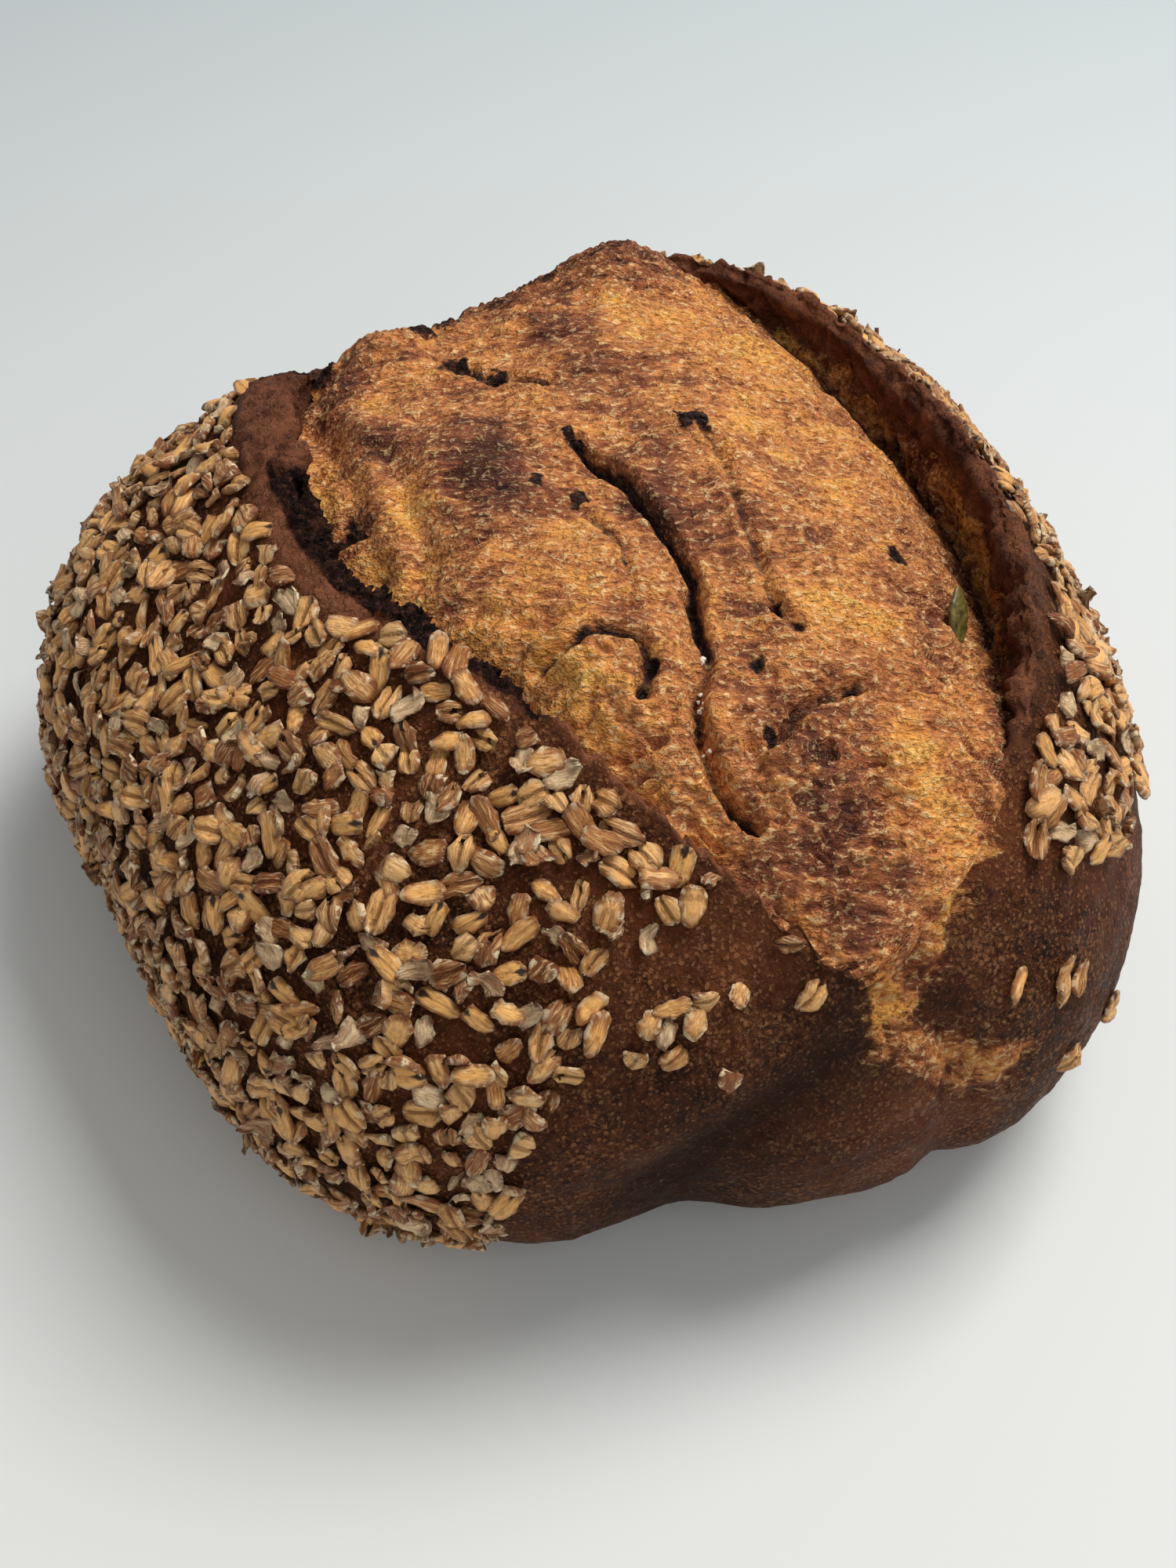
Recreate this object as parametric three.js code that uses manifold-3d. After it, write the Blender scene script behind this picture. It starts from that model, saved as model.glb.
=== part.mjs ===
// A round sourdough loaf rolled in oats, with one long slash that has burst wide open in the oven.
// Millimetres. +X runs along the slash towards the bare front end, +Z is up, and the loaf stands on z = 0.
// The crust is a skin of rings: from a basin under the torn dough, over the lip and down to the base.
// The torn dough is a second skin, of cross-sections, and the oat flakes are low drums sunk in the crust.
// All of them are fused into one solid, because the real loaf is one piece.
import * as THREE from "three";
import { mergeVertices } from "three/addons/utils/BufferGeometryUtils.js";
import Module from "manifold-3d";

const RADIANS = Math.PI / 180;

// The dome: half sizes in plan, heights, and the powers of its rounded-off ellipses.
const HALF_LENGTH = 113;
const HALF_WIDTH = 103.4;
const CREST_Z = 110;
const WIDEST_Z = 39;
const UNDER_DEPTH = 46;
const PLAN_POWER = 2.275;
const TOP_POWER = 2.16;
const UNDER_POWER = 2.8;
// Broad waves take the outline away from a true oval. Each has a share of the radius and one crest's angle.
const OUTLINE_WAVES = [
  { count: 1, share: 0.0305, crest: 113 },
  { count: 2, share: 0.0268, crest: 103 },
  { count: 3, share: 0.0397, crest: 11 },
  { count: 4, share: 0.0284, crest: 47 },
  { count: 5, share: 0.014, crest: 19 },
];
// The middle of the loaf's box, seen from the middle of the dome. The loaf is moved to centre its box.
const BOX_MIDDLE = { x: -0.4, y: 1.9 };

// The slash, seen from above, is a leaf shape: round at the far end and pointed at the front.
const SLASH = { middleX: -4, halfLength: 102, y: 5 };
// A profile is a row of [x along the slash, value] pairs, with a smooth change from each to the next.
const LEFT_LIP = {
  reach: 61,
  front: [1.25, 0.85],
  back: [2.4, 0.6],
  width: 16,
  lift: [[-85, 0], [-60, 6], [-40, 5], [-15, 3.5], [35, 3], [75, 0.8]],
  lean: [[0, 0]],
  rim: [[-30, 10], [5, 9], [20, 8], [60, 2], [95, 1]],
  crease: [[-90, 1], [-50, 6], [-20, 8], [40, 6], [95, 1]],
  creaseSpread: [[-60, 12], [-30, 8]],
  creaseFall: 1.3,
};
const RIGHT_LIP = {
  reach: 71,
  front: [2.2, 0.6],
  back: [2.4, 0.6],
  width: 25,
  lift: [[-108, 0], [-75, 4.5], [-30, 4.5], [20, 9.5], [45, 9.5], [88, 0]],
  lean: [[40, 4], [95, 0]],
  rim: [[40, 5.2], [90, 1]],
  crease: [[-70, 4], [-25, 14], [30, 14], [82, 0]],
  creaseSpread: [[0, 14]],
  creaseFall: 1.5,
};
// The lip's crest is rounded over this width. Its inner wall goes down to just below the dough's edge.
const CREST_WIDTH = 2;
const CREST_DROP = 0.8;
// The dough starts a little inside the lip's crest, down in the crease.
const DOUGH_GAP = 1.5;
const WALL_SLOPE = 0.5;
const WALL_TUCK = 1;
// The crust goes on inwards under the dough, as a basin, and the dough goes down through it.
const UNDERCUT = { inward: 4.5, down: 4 };
const BASIN = { share: 0.7, depth: 20, lowestRim: 45, middleShare: 0.3, middleZ: 61 };
const DOUGH_BOTTOM_Z = 30;
const NARROWEST_HALF = 0.6;
const MIDDLE_RANGE = [0.15, 0.85];
const DOUGH_END_SHARE = 0.985;

// The main fold in the torn dough.
const FOLD_Y = [[-60, 0], [-9, 1], [22, 6.5], [62, -6], [98, 5]];
const FOLD = { width: 2, depth: [[-14, 0], [-5, 2.6], [66, 2.6], [80, 0]] };
// Swellings and hollows of the torn dough: centre, spread along and across the slash, and height.
const SWELLINGS = [
  { x: -72, y: 38, along: 22, across: 18, height: 9 },
  { x: -66, y: -20, along: 11, across: 10, height: 6 },
  { x: 45, y: -17, along: 8, across: 7, height: 2.4 },
  { x: 70, y: 5, along: 5, across: 8, height: 2 },
  { x: 20, y: -14, along: 26, across: 14, height: 2 },
  { x: 4, y: 24, along: 30, across: 9, height: 1.6 },
  { x: -40, y: -8, along: 10, across: 16, height: -2.5 },
];

// The front end is drawn in along two lines that part below the slash: a torn one, and the valley
// between the two lobes of the base. Their angle round the loaf and their depth go by the latitude.
const TEAR = { angle: [[4, 12], [50, 3.5]], depth: [[-10, 3.5], [60, 0]], spread: 3.4 };
const VALLEY = { angle: [[0, -15], [26, 4]], depth: [[-2, 6], [34, 0]], spread: 8 };

// The oat flakes cover both flanks and the far end. Their borders at the bare front go by the latitude.
const FLAKE = { length: 8.9, width: 5.4, thickness: 2.5, topShare: 0.84, sides: 6, furrow: 0.55, sunk: 0.9 };
const FLAKE_SIZES = { alone: [0.8, 1], among: [0.86, 1.06] };
const LEFT_BORDER = [[-10, -39], [46, -9]];
const RIGHT_BORDER = [[8, 49], [34, 25]];
const LOWEST_FLAKE = -38;
const CLEAR_OF_LIP = 5.5;
const FLAKE_SPACING = 12;
const FLAKE_TRIES = 2600;
const FLAKE_SEED = 7;
const MOST_FLAKES = 182;
// Flakes that lie alone on the bare front: angle round the loaf, and latitude.
const LONE_FLAKES = [
  [-2, 44], [-1, 36], [-11, 26], [-15, 39], [-12, 39], [-9, 39], [-17, 36], [-16, 32], [-19, 32],
  [18, 27], [23, 22], [24, 3], [32, 1],
];
const PROBE_STEP = 1.5 * RADIANS;
const RAY_START = 12;

// Mesh fineness. Rings crowd towards the lip, strips towards the fold and sections towards the ends.
const COLUMNS = 64;
const FLANK_RINGS = 6;
const BASE_RINGS = 4;
const RING_CROWDING = 1.25;
const SECTIONS = 36;
const SECTION_CROWDING = 1;
const SIDE_STRIPS = 9;
const STRIP_CROWDING = 1.4;
const EDGE_STEPS = 40;

const CRUST_BROWN = 0x6b4325;

function mix([from, to], share) {
  return from + (to - from) * share;
}

function valueAt(profile, place) {
  const next = profile.findIndex(([knot]) => knot >= place);
  if (next === 0) return profile[0][1];
  if (next < 0) return profile[profile.length - 1][1];
  const [start, from] = profile[next - 1];
  const [end, to] = profile[next];
  return mix([from, to], THREE.MathUtils.smoothstep(place, start, end));
}

function bell(distance, spread) {
  return Math.exp(-((distance / spread) ** 2));
}

function degreesRound(angle) {
  return THREE.MathUtils.euclideanModulo(angle / RADIANS + 180, 360) - 180;
}

// The dome

function planRadius(angle) {
  const along = Math.abs(Math.cos(angle) / HALF_LENGTH) ** PLAN_POWER;
  const across = Math.abs(Math.sin(angle) / HALF_WIDTH) ** PLAN_POWER;
  const waves = OUTLINE_WAVES.reduce(
    (sum, wave) => sum + wave.share * Math.cos(wave.count * (angle - wave.crest * RADIANS)),
    1,
  );
  return (along + across) ** (-1 / PLAN_POWER) * waves;
}

function domeHeight(x, y) {
  const share = Math.min(1, Math.hypot(x, y) / planRadius(Math.atan2(y, x)));
  return mix([WIDEST_Z, CREST_Z], (1 - share ** TOP_POWER) ** (1 / TOP_POWER));
}

function drawnIn(line, angle, latitude) {
  const degrees = latitude / RADIANS;
  const aside = degreesRound(angle) - valueAt(line.angle, degrees);
  return valueAt(line.depth, degrees) * bell(aside, line.spread);
}

// A point of the crust, by its angle round the loaf and its latitude: 0 is the widest level.
function flankPoint(angle, latitude) {
  const power = latitude >= 0 ? TOP_POWER : UNDER_POWER;
  const depth = latitude >= 0 ? CREST_Z - WIDEST_Z : -UNDER_DEPTH;
  const rise = depth * Math.abs(Math.sin(latitude)) ** (2 / power);
  const hollow = drawnIn(TEAR, angle, latitude) + drawnIn(VALLEY, angle, latitude);
  const radius = (planRadius(angle) - hollow) * Math.cos(latitude) ** (2 / power);
  return new THREE.Vector3(
    radius * Math.cos(angle),
    radius * Math.sin(angle),
    Math.max(0, WIDEST_Z + rise),
  );
}

// The slash

function halfWidth(x, lip) {
  const share = THREE.MathUtils.clamp((x - SLASH.middleX) / SLASH.halfLength, -1, 1);
  const [inner, outer] = share > 0 ? lip.front : lip.back;
  return lip.reach * (1 - Math.abs(share) ** inner) ** outer;
}

function isInSlash(x, y) {
  const lip = y > SLASH.y ? RIGHT_LIP : LEFT_LIP;
  return Math.abs(x - SLASH.middleX) < SLASH.halfLength && Math.abs(y - SLASH.y) < halfWidth(x, lip);
}

// The distance from the dome's middle to the slash's edge, found by halving.
function edgeRadius(angle) {
  let near = 0;
  let far = planRadius(angle);
  for (let step = 0; step < EDGE_STEPS; step++) {
    const middle = (near + far) / 2;
    if (isInSlash(middle * Math.cos(angle), middle * Math.sin(angle))) near = middle;
    else far = middle;
  }
  return near;
}

// The torn dough follows the dome, and sinks towards the crease under each lip.
function doughHeight(x, y, leftY, rightY) {
  let z = domeHeight(x, y);
  for (const [lip, distance] of [[LEFT_LIP, y - leftY], [RIGHT_LIP, rightY - y]]) {
    const share = Math.max(0, distance) / valueAt(lip.creaseSpread, x);
    z -= valueAt(lip.crease, x) * Math.exp(-(share ** lip.creaseFall));
  }
  for (const swelling of SWELLINGS) {
    const share = bell(x - swelling.x, swelling.along) * bell(y - swelling.y, swelling.across);
    z += swelling.height * share;
  }
  return z - valueAt(FOLD.depth, x) * bell(y - valueAt(FOLD_Y, x), FOLD.width);
}

// Skins

// A closed skin through a row of rings with equally many points. A fan closes each end.
function skin(rings) {
  const count = rings[0].length;
  const lastRing = rings.length - 1;
  const middle = (ring) =>
    ring.reduce((sum, point) => sum.add(point), new THREE.Vector3()).divideScalar(count);
  const points = [...rings.flat(), middle(rings[0]), middle(rings[lastRing])];
  const startFan = points.length - 2;
  const endFan = points.length - 1;
  const index = [];
  for (let i = 0; i < count; i++) {
    const next = (i + 1) % count;
    index.push(startFan, i, next);
    index.push(endFan, lastRing * count + next, lastRing * count + i);
    for (let ring = 0; ring < lastRing; ring++) {
      const a = ring * count + i;
      const b = ring * count + next;
      index.push(a, b + count, b, a, a + count, b + count);
    }
  }
  const geometry = new THREE.BufferGeometry().setFromPoints(points);
  geometry.setIndex(index);
  return geometry;
}

// One radial line of the crust, from the basin under the dough, over the lip, to the base.
function crustColumn(angle) {
  const radius = edgeRadius(angle);
  const edge = new THREE.Vector3(radius * Math.cos(angle), radius * Math.sin(angle), 0);
  edge.z = domeHeight(edge.x, edge.y);
  const lip = edge.y < SLASH.y ? LEFT_LIP : RIGHT_LIP;
  const [lift, lean, rim, crease] = [lip.lift, lip.lean, lip.rim, lip.crease].map((p) => valueAt(p, edge.x));
  const inward = (share, z) => new THREE.Vector3(edge.x * share, edge.y * share, z);
  const inFromEdge = (distance, rise) => {
    const share = 1 - distance / radius;
    return inward(share, domeHeight(edge.x * share, edge.y * share) + rise);
  };
  const column = [
    inward(BASIN.middleShare, BASIN.middleZ),
    inward(BASIN.share, Math.max(BASIN.lowestRim, edge.z - BASIN.depth)),
    inFromEdge(rim + UNDERCUT.inward, -crease - UNDERCUT.down),
    inFromEdge(rim + WALL_SLOPE, -crease - WALL_TUCK),
    inFromEdge(rim, lift - CREST_DROP),
    inFromEdge(Math.max(rim - CREST_WIDTH, rim / 2), lift),
  ];
  const edgeLatitude = Math.acos((radius / planRadius(angle)) ** (TOP_POWER / 2));
  for (let ring = 1; ring <= FLANK_RINGS; ring++) {
    const point = flankPoint(angle, edgeLatitude * (1 - (ring / FLANK_RINGS) ** RING_CROWDING));
    const away = Math.hypot(point.x - edge.x, point.y - edge.y);
    const nearness = Math.max(0, 1 - away / lip.width) ** 2;
    const pull = 1 - (lean * nearness) / Math.hypot(point.x, point.y);
    column.push(new THREE.Vector3(point.x * pull, point.y * pull, point.z + lift * nearness));
  }
  for (let ring = 1; ring <= BASE_RINGS; ring++) {
    const depthShare = (ring / BASE_RINGS) * (WIDEST_Z / UNDER_DEPTH);
    column.push(flankPoint(angle, -Math.asin(depthShare ** (UNDER_POWER / 2))));
  }
  return column;
}

function crustRings() {
  const columns = Array.from({ length: COLUMNS }, (_, i) => crustColumn((i / COLUMNS) * 2 * Math.PI));
  return columns[0].map((_, ring) => columns.map((column) => column[ring]));
}

function doughSection(x) {
  const halfOf = (lip) => {
    const inset = valueAt(lip.rim, x) - valueAt(lip.lean, x) + DOUGH_GAP;
    return Math.max(NARROWEST_HALF, halfWidth(x, lip) - inset);
  };
  const leftY = SLASH.y - halfOf(LEFT_LIP);
  const rightY = SLASH.y + halfOf(RIGHT_LIP);
  const [lowest, highest] = MIDDLE_RANGE.map((share) => mix([leftY, rightY], share));
  const middleY = THREE.MathUtils.clamp(valueAt(FOLD_Y, x), lowest, highest);
  const section = [];
  for (let strip = -SIDE_STRIPS; strip <= SIDE_STRIPS; strip++) {
    const share = Math.abs(strip / SIDE_STRIPS) ** STRIP_CROWDING;
    const y = mix([middleY, strip < 0 ? leftY : rightY], share);
    section.push(new THREE.Vector3(x, y, doughHeight(x, y, leftY, rightY)));
  }
  for (const y of [rightY, middleY, leftY]) section.push(new THREE.Vector3(x, y, DOUGH_BOTTOM_Z));
  return section;
}

function doughSections() {
  return Array.from({ length: SECTIONS + 1 }, (_, i) => {
    const share = Math.sin(((2 * i) / SECTIONS - 1) * SECTION_CROWDING) / Math.sin(SECTION_CROWDING);
    return doughSection(SLASH.middleX + SLASH.halfLength * DOUGH_END_SHARE * share);
  });
}

// Oat flakes

// A small seeded generator of numbers from 0 to 1, so that every build lays the same flakes.
function seededRandom(seed) {
  let state = seed >>> 0;
  return () => {
    state = (state + 0x6d2b79f5) >>> 0;
    let t = state;
    t = Math.imul(t ^ (t >>> 15), t | 1);
    t ^= t + Math.imul(t ^ (t >>> 7), t | 61);
    return ((t ^ (t >>> 14)) >>> 0) / 2 ** 32;
  };
}

function isCovered(angle, latitude) {
  const round = degreesRound(angle);
  const degrees = latitude / RADIANS;
  const atSide = round < valueAt(LEFT_BORDER, degrees) || round > valueAt(RIGHT_BORDER, degrees);
  if (!atSide || degrees < LOWEST_FLAKE) return false;
  const point = flankPoint(angle, latitude);
  const clearOfLip = Math.hypot(point.x, point.y) > edgeRadius(angle) + CLEAR_OF_LIP;
  return latitude < 0 || clearOfLip;
}

// Lone flakes first, then flakes at random places that keep their distance from those already laid.
function flakePlaces() {
  const random = seededRandom(FLAKE_SEED);
  const place = (angle, latitude, sizes) => {
    const turn = random() * Math.PI;
    const size = mix(sizes, random());
    return { angle, latitude, turn, size, point: flankPoint(angle, latitude) };
  };
  const places = LONE_FLAKES.map(([angle, latitude]) =>
    place(angle * RADIANS, latitude * RADIANS, FLAKE_SIZES.alone),
  );
  for (let attempt = 0; attempt < FLAKE_TRIES && places.length < MOST_FLAKES; attempt++) {
    const angle = (random() * 2 - 1) * Math.PI;
    const latitude = Math.asin(mix([Math.sin(LOWEST_FLAKE * RADIANS), 1], random()));
    const flake = place(angle, latitude, FLAKE_SIZES.among);
    const isFree = places.every((other) => other.point.distanceTo(flake.point) > FLAKE_SPACING);
    if (isFree && isCovered(angle, latitude)) places.push(flake);
  }
  return places;
}

// One flake: a low drum with slanting sides and a furrow along its top.
function flakeGeometry(size) {
  const drum = new THREE.CylinderGeometry(FLAKE.topShare / 2, 1 / 2, 1, FLAKE.sides, 1);
  drum.rotateX(Math.PI / 2);
  drum.rotateZ(Math.PI / 2);
  const position = drum.getAttribute("position");
  for (let i = 0; i < position.count; i++) {
    const isOnFurrow = position.getZ(i) > 0 && Math.abs(position.getY(i)) < 0.01;
    if (isOnFurrow) position.setZ(i, position.getZ(i) - FLAKE.furrow / FLAKE.thickness);
  }
  return drum.scale(FLAKE.length * size, FLAKE.width * size, FLAKE.thickness);
}

// A ray from outside finds where the faceted crust is, and the flake is set down there.
function placedFlake({ angle, latitude, turn, size, point }, crustMesh) {
  const across = flankPoint(angle + PROBE_STEP, latitude).sub(flankPoint(angle - PROBE_STEP, latitude));
  const upward = flankPoint(angle, latitude + PROBE_STEP).sub(flankPoint(angle, latitude - PROBE_STEP));
  const normal = across.clone().cross(upward).normalize();
  const lengthwise = across.normalize().applyAxisAngle(normal, turn);
  const sideways = normal.clone().cross(lengthwise);
  const outside = point.clone().addScaledVector(normal, RAY_START);
  const ray = new THREE.Raycaster(outside, normal.clone().negate());
  const middle = ray.intersectObject(crustMesh)[0].point;
  middle.addScaledVector(normal, FLAKE.thickness / 2 - FLAKE.sunk);
  const placing = new THREE.Matrix4().makeBasis(lengthwise, sideways, normal).setPosition(middle);
  return flakeGeometry(size).applyMatrix4(placing);
}

// Joining

const wasm = await Module();
wasm.setup();

function solidOf(geometry) {
  const bare = new THREE.BufferGeometry();
  bare.setAttribute("position", geometry.getAttribute("position"));
  bare.setIndex(geometry.getIndex());
  const merged = mergeVertices(bare);
  const triVerts = new Uint32Array(merged.index.array);
  const vertProperties = merged.getAttribute("position").array;
  return new wasm.Manifold(new wasm.Mesh({ numProp: 3, vertProperties, triVerts }));
}

function geometryOf(solid) {
  const mesh = solid.getMesh();
  const geometry = new THREE.BufferGeometry();
  geometry.setAttribute("position", new THREE.BufferAttribute(mesh.vertProperties, 3));
  geometry.setIndex(new THREE.BufferAttribute(mesh.triVerts, 1));
  geometry.computeVertexNormals();
  return geometry;
}

const crustMaterial = new THREE.MeshStandardMaterial({ color: CRUST_BROWN, roughness: 0.8, metalness: 0 });
const crustMesh = new THREE.Mesh(skin(crustRings()), crustMaterial);
const crust = solidOf(crustMesh.geometry);
const dough = solidOf(skin(doughSections()));
const flakes = flakePlaces().map((place) => solidOf(placedFlake(place, crustMesh)));
const fused = wasm.Manifold.union([crust, dough, ...flakes]);

const loaf = new THREE.Mesh(geometryOf(fused), crustMaterial);
loaf.name = "oat_loaf";
loaf.position.set(-BOX_MIDDLE.x, -BOX_MIDDLE.y, 0);

const part = new THREE.Group();
part.add(loaf);

export default part;
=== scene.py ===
# %% [markdown]
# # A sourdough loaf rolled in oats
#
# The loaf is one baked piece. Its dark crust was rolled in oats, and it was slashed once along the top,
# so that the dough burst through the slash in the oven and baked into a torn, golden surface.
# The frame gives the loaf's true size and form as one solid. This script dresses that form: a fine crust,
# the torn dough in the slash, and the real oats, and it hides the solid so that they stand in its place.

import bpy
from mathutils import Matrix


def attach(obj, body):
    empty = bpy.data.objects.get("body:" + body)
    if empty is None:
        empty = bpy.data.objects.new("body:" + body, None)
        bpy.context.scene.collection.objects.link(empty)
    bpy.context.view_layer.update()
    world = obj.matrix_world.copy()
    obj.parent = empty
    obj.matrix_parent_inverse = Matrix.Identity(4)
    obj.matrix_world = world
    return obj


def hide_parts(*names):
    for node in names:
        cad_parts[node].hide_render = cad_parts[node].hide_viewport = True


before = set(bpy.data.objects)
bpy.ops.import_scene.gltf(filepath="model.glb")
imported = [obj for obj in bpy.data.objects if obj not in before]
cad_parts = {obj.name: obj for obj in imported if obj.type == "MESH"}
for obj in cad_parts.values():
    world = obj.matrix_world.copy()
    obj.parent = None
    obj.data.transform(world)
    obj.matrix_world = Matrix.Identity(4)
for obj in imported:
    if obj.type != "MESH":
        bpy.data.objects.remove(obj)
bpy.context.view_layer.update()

# %% [markdown]
# ## The form in numbers
#
# The crust and the dough follow the same formulas as the solid, so their sizes are repeated here, in
# millimetres. Numpy works them out for all points at once. A profile is a row of (place, value) pairs
# with a smooth change from each to the next, which is how a baker's eye follows a lip along the slash.

# %% Sizes of the dome and the slash, in millimetres
import math

import bmesh
import bpy
import numpy as np
from mathutils import Vector
from mathutils.bvhtree import BVHTree

MILLIMETRE = 0.001
HALF_LENGTH = 113
HALF_WIDTH = 103.4
CREST_Z = 110
WIDEST_Z = 39
UNDER_DEPTH = 46
PLAN_POWER = 2.275
TOP_POWER = 2.16
UNDER_POWER = 2.8
# Each wave of the outline has a count, a share of the radius and the angle of one crest.
OUTLINE_WAVES = [(1, 0.0305, 113), (2, 0.0268, 103), (3, 0.0397, 11), (4, 0.0284, 47), (5, 0.014, 19)]
# The middle of the loaf's box, seen from the middle of the dome.
BOX_MIDDLE = np.array([-0.4, 1.9, 0])

SLASH_MIDDLE_X = -4
SLASH_HALF_LENGTH = 102
SLASH_Y = 5
LEFT_LIP = dict(
    reach=61, front=(1.25, 0.85), back=(2.4, 0.6), width=16,
    lift=[(-85, 0), (-60, 6), (-40, 5), (-15, 3.5), (35, 3), (62, 1.6), (82, 1.2)], lean=[(0, 0)],
    rim=[(-30, 10), (5, 9), (20, 8.5), (36, 8), (50, 5), (64, 4), (78, 3), (95, 1)],
    crease=[(-90, 1), (-50, 6), (-20, 8), (40, 6), (95, 1)], spread=[(-60, 12), (-30, 8)], fall=1.3,
)
RIGHT_LIP = dict(
    reach=71, front=(2.2, 0.6), back=(2.4, 0.6), width=25,
    lift=[(-108, 0), (-75, 4.5), (-30, 4.5), (20, 9.5), (45, 9.5), (88, 0)], lean=[(40, 4), (95, 0)],
    rim=[(40, 5.2), (90, 1)],
    crease=[(-70, 4), (-25, 14), (30, 14), (82, 0)], spread=[(0, 14)], fall=1.5,
)
FOLD_Y = [(-60, 0), (-9, 1), (22, 6.5), (62, -6), (98, 5)]
FOLD_DEPTH = [(-14, 0), (-5, 2.6), (66, 2.6), (80, 0)]
FOLD_WIDTH = 2
# Swellings of the torn dough: x, y, spread along, spread across, height.
SWELLINGS = [
    (-72, 38, 22, 18, 9), (-66, -20, 11, 10, 6), (45, -17, 8, 7, 2.4), (70, 5, 5, 8, 2),
    (20, -14, 26, 14, 2), (4, 24, 30, 9, 1.6), (-40, -8, 10, 16, -2.5),
]
# The torn line and the valley that draw in the front end, by latitude in degrees.
TEAR = dict(angle=[(4, 12), (50, 3.5)], depth=[(-10, 3.5), (60, 0)], spread=3.4)
VALLEY = dict(angle=[(0, -15), (26, 4)], depth=[(-2, 6), (34, 0)], spread=8)
print("slash from x", SLASH_MIDDLE_X - SLASH_HALF_LENGTH, "to", SLASH_MIDDLE_X + SLASH_HALF_LENGTH, "mm")


# %% Profiles, bells and roughness
def along_profile(profile, place):
    """The profile's value at each place, flat beyond its ends."""
    knots = np.array(profile, float)
    place = np.asarray(place, float)
    if len(knots) == 1:
        return np.full_like(place, knots[0, 1])
    step = np.clip(np.searchsorted(knots[:, 0], place) - 1, 0, len(knots) - 2)
    start, end = knots[step], knots[step + 1]
    share = np.clip((place - start[..., 0]) / (end[..., 0] - start[..., 0]), 0, 1)
    return start[..., 1] + (end[..., 1] - start[..., 1]) * share * share * (3 - 2 * share)


def bell(distance, spread):
    return np.exp(-((distance / spread) ** 2))


def ease(value, low, high):
    """0 below low, 1 above high, and a smooth rise between."""
    share = np.clip((value - low) / (high - low), 0, 1)
    return share * share * (3 - 2 * share)


def corner_number(cell, seed):
    """A number from -1 to 1 that is always the same for the same corner of a lattice."""
    mixed = cell[..., 0] * 73856093 ^ cell[..., 1] * 19349663 ^ cell[..., 2] * 83492791 ^ seed * 26544357
    mixed = (mixed ^ mixed >> 13) * 1274126177 & 0x7FFFFFFF
    return ((mixed ^ mixed >> 15) & 0xFFFF) / 32767.5 - 1


def ripple(points, seed=0):
    """Smooth hills and hollows from -1 to 1, about one unit apart."""
    cell = np.floor(points).astype(np.int64)
    share = points - cell
    share = share**3 * (share * (share * 6 - 15) + 10)
    total = 0
    for corner in np.ndindex(2, 2, 2):
        weight = np.prod(np.where(corner, share, 1 - share), axis=-1)
        total = total + weight * corner_number(cell + np.array(corner), seed)
    return total


def rough(points, size, layers=3, seed=0, keep=0.5):
    """Layers of ripples, each half as wide as the one before and weaker."""
    points = np.asarray(points, float)
    total = 0
    for layer in range(layers):
        total = total + keep**layer * ripple(points * 2**layer / size + 17.3 * layer, seed + layer)
    return total


print("roughness of ten points:", np.round(rough(np.arange(30).reshape(10, 3) * 1.7, 4), 2))


# %% The dome and the slash as formulas
def plan_radius(angle):
    along = np.abs(np.cos(angle) / HALF_LENGTH) ** PLAN_POWER
    across = np.abs(np.sin(angle) / HALF_WIDTH) ** PLAN_POWER
    waves = 0
    for count, share, crest in OUTLINE_WAVES:
        waves = waves + share * np.cos(count * (angle - math.radians(crest)))
    return (along + across) ** (-1 / PLAN_POWER) * (1 + waves)


def dome_height(x, y):
    share = np.minimum(1, np.hypot(x, y) / plan_radius(np.arctan2(y, x)))
    return WIDEST_Z + (CREST_Z - WIDEST_Z) * (1 - share**TOP_POWER) ** (1 / TOP_POWER)


def beside_line(line, angle, latitude):
    """Degrees round the loaf from a torn line to each point."""
    aside = np.degrees(angle) - along_profile(line["angle"], np.degrees(latitude))
    return (aside + 180) % 360 - 180


def drawn_in(line, angle, latitude):
    depth = along_profile(line["depth"], np.degrees(latitude))
    return depth * bell(beside_line(line, angle, latitude), line["spread"])


def flank_point(angle, latitude):
    """A point of the crust, by its angle round the loaf and its latitude: 0 is the widest level."""
    power = np.where(latitude >= 0, TOP_POWER, UNDER_POWER)
    depth = np.where(latitude >= 0, CREST_Z - WIDEST_Z, -UNDER_DEPTH)
    rise = depth * np.abs(np.sin(latitude)) ** (2 / power)
    hollow = drawn_in(TEAR, angle, latitude) + drawn_in(VALLEY, angle, latitude)
    radius = (plan_radius(angle) - hollow) * np.cos(latitude) ** (2 / power)
    z = np.maximum(0, WIDEST_Z + rise)
    return np.stack([radius * np.cos(angle), radius * np.sin(angle), z], axis=-1)


def half_width(x, lip):
    share = np.clip((x - SLASH_MIDDLE_X) / SLASH_HALF_LENGTH, -1, 1)
    front = (1 - np.abs(share) ** lip["front"][0]) ** lip["front"][1]
    back = (1 - np.abs(share) ** lip["back"][0]) ** lip["back"][1]
    return lip["reach"] * np.where(share > 0, front, back)


def edge_radius(angle):
    """The distance from the dome's middle to the slash's edge, found by halving."""
    near = np.zeros_like(angle)
    far = plan_radius(angle)
    for _ in range(40):
        middle = (near + far) / 2
        x = middle * np.cos(angle)
        y = middle * np.sin(angle)
        wide = np.where(y > SLASH_Y, half_width(x, RIGHT_LIP), half_width(x, LEFT_LIP))
        inside = (np.abs(x - SLASH_MIDDLE_X) < SLASH_HALF_LENGTH) & (np.abs(y - SLASH_Y) < wide)
        near = np.where(inside, middle, near)
        far = np.where(inside, far, middle)
    return near


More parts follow.
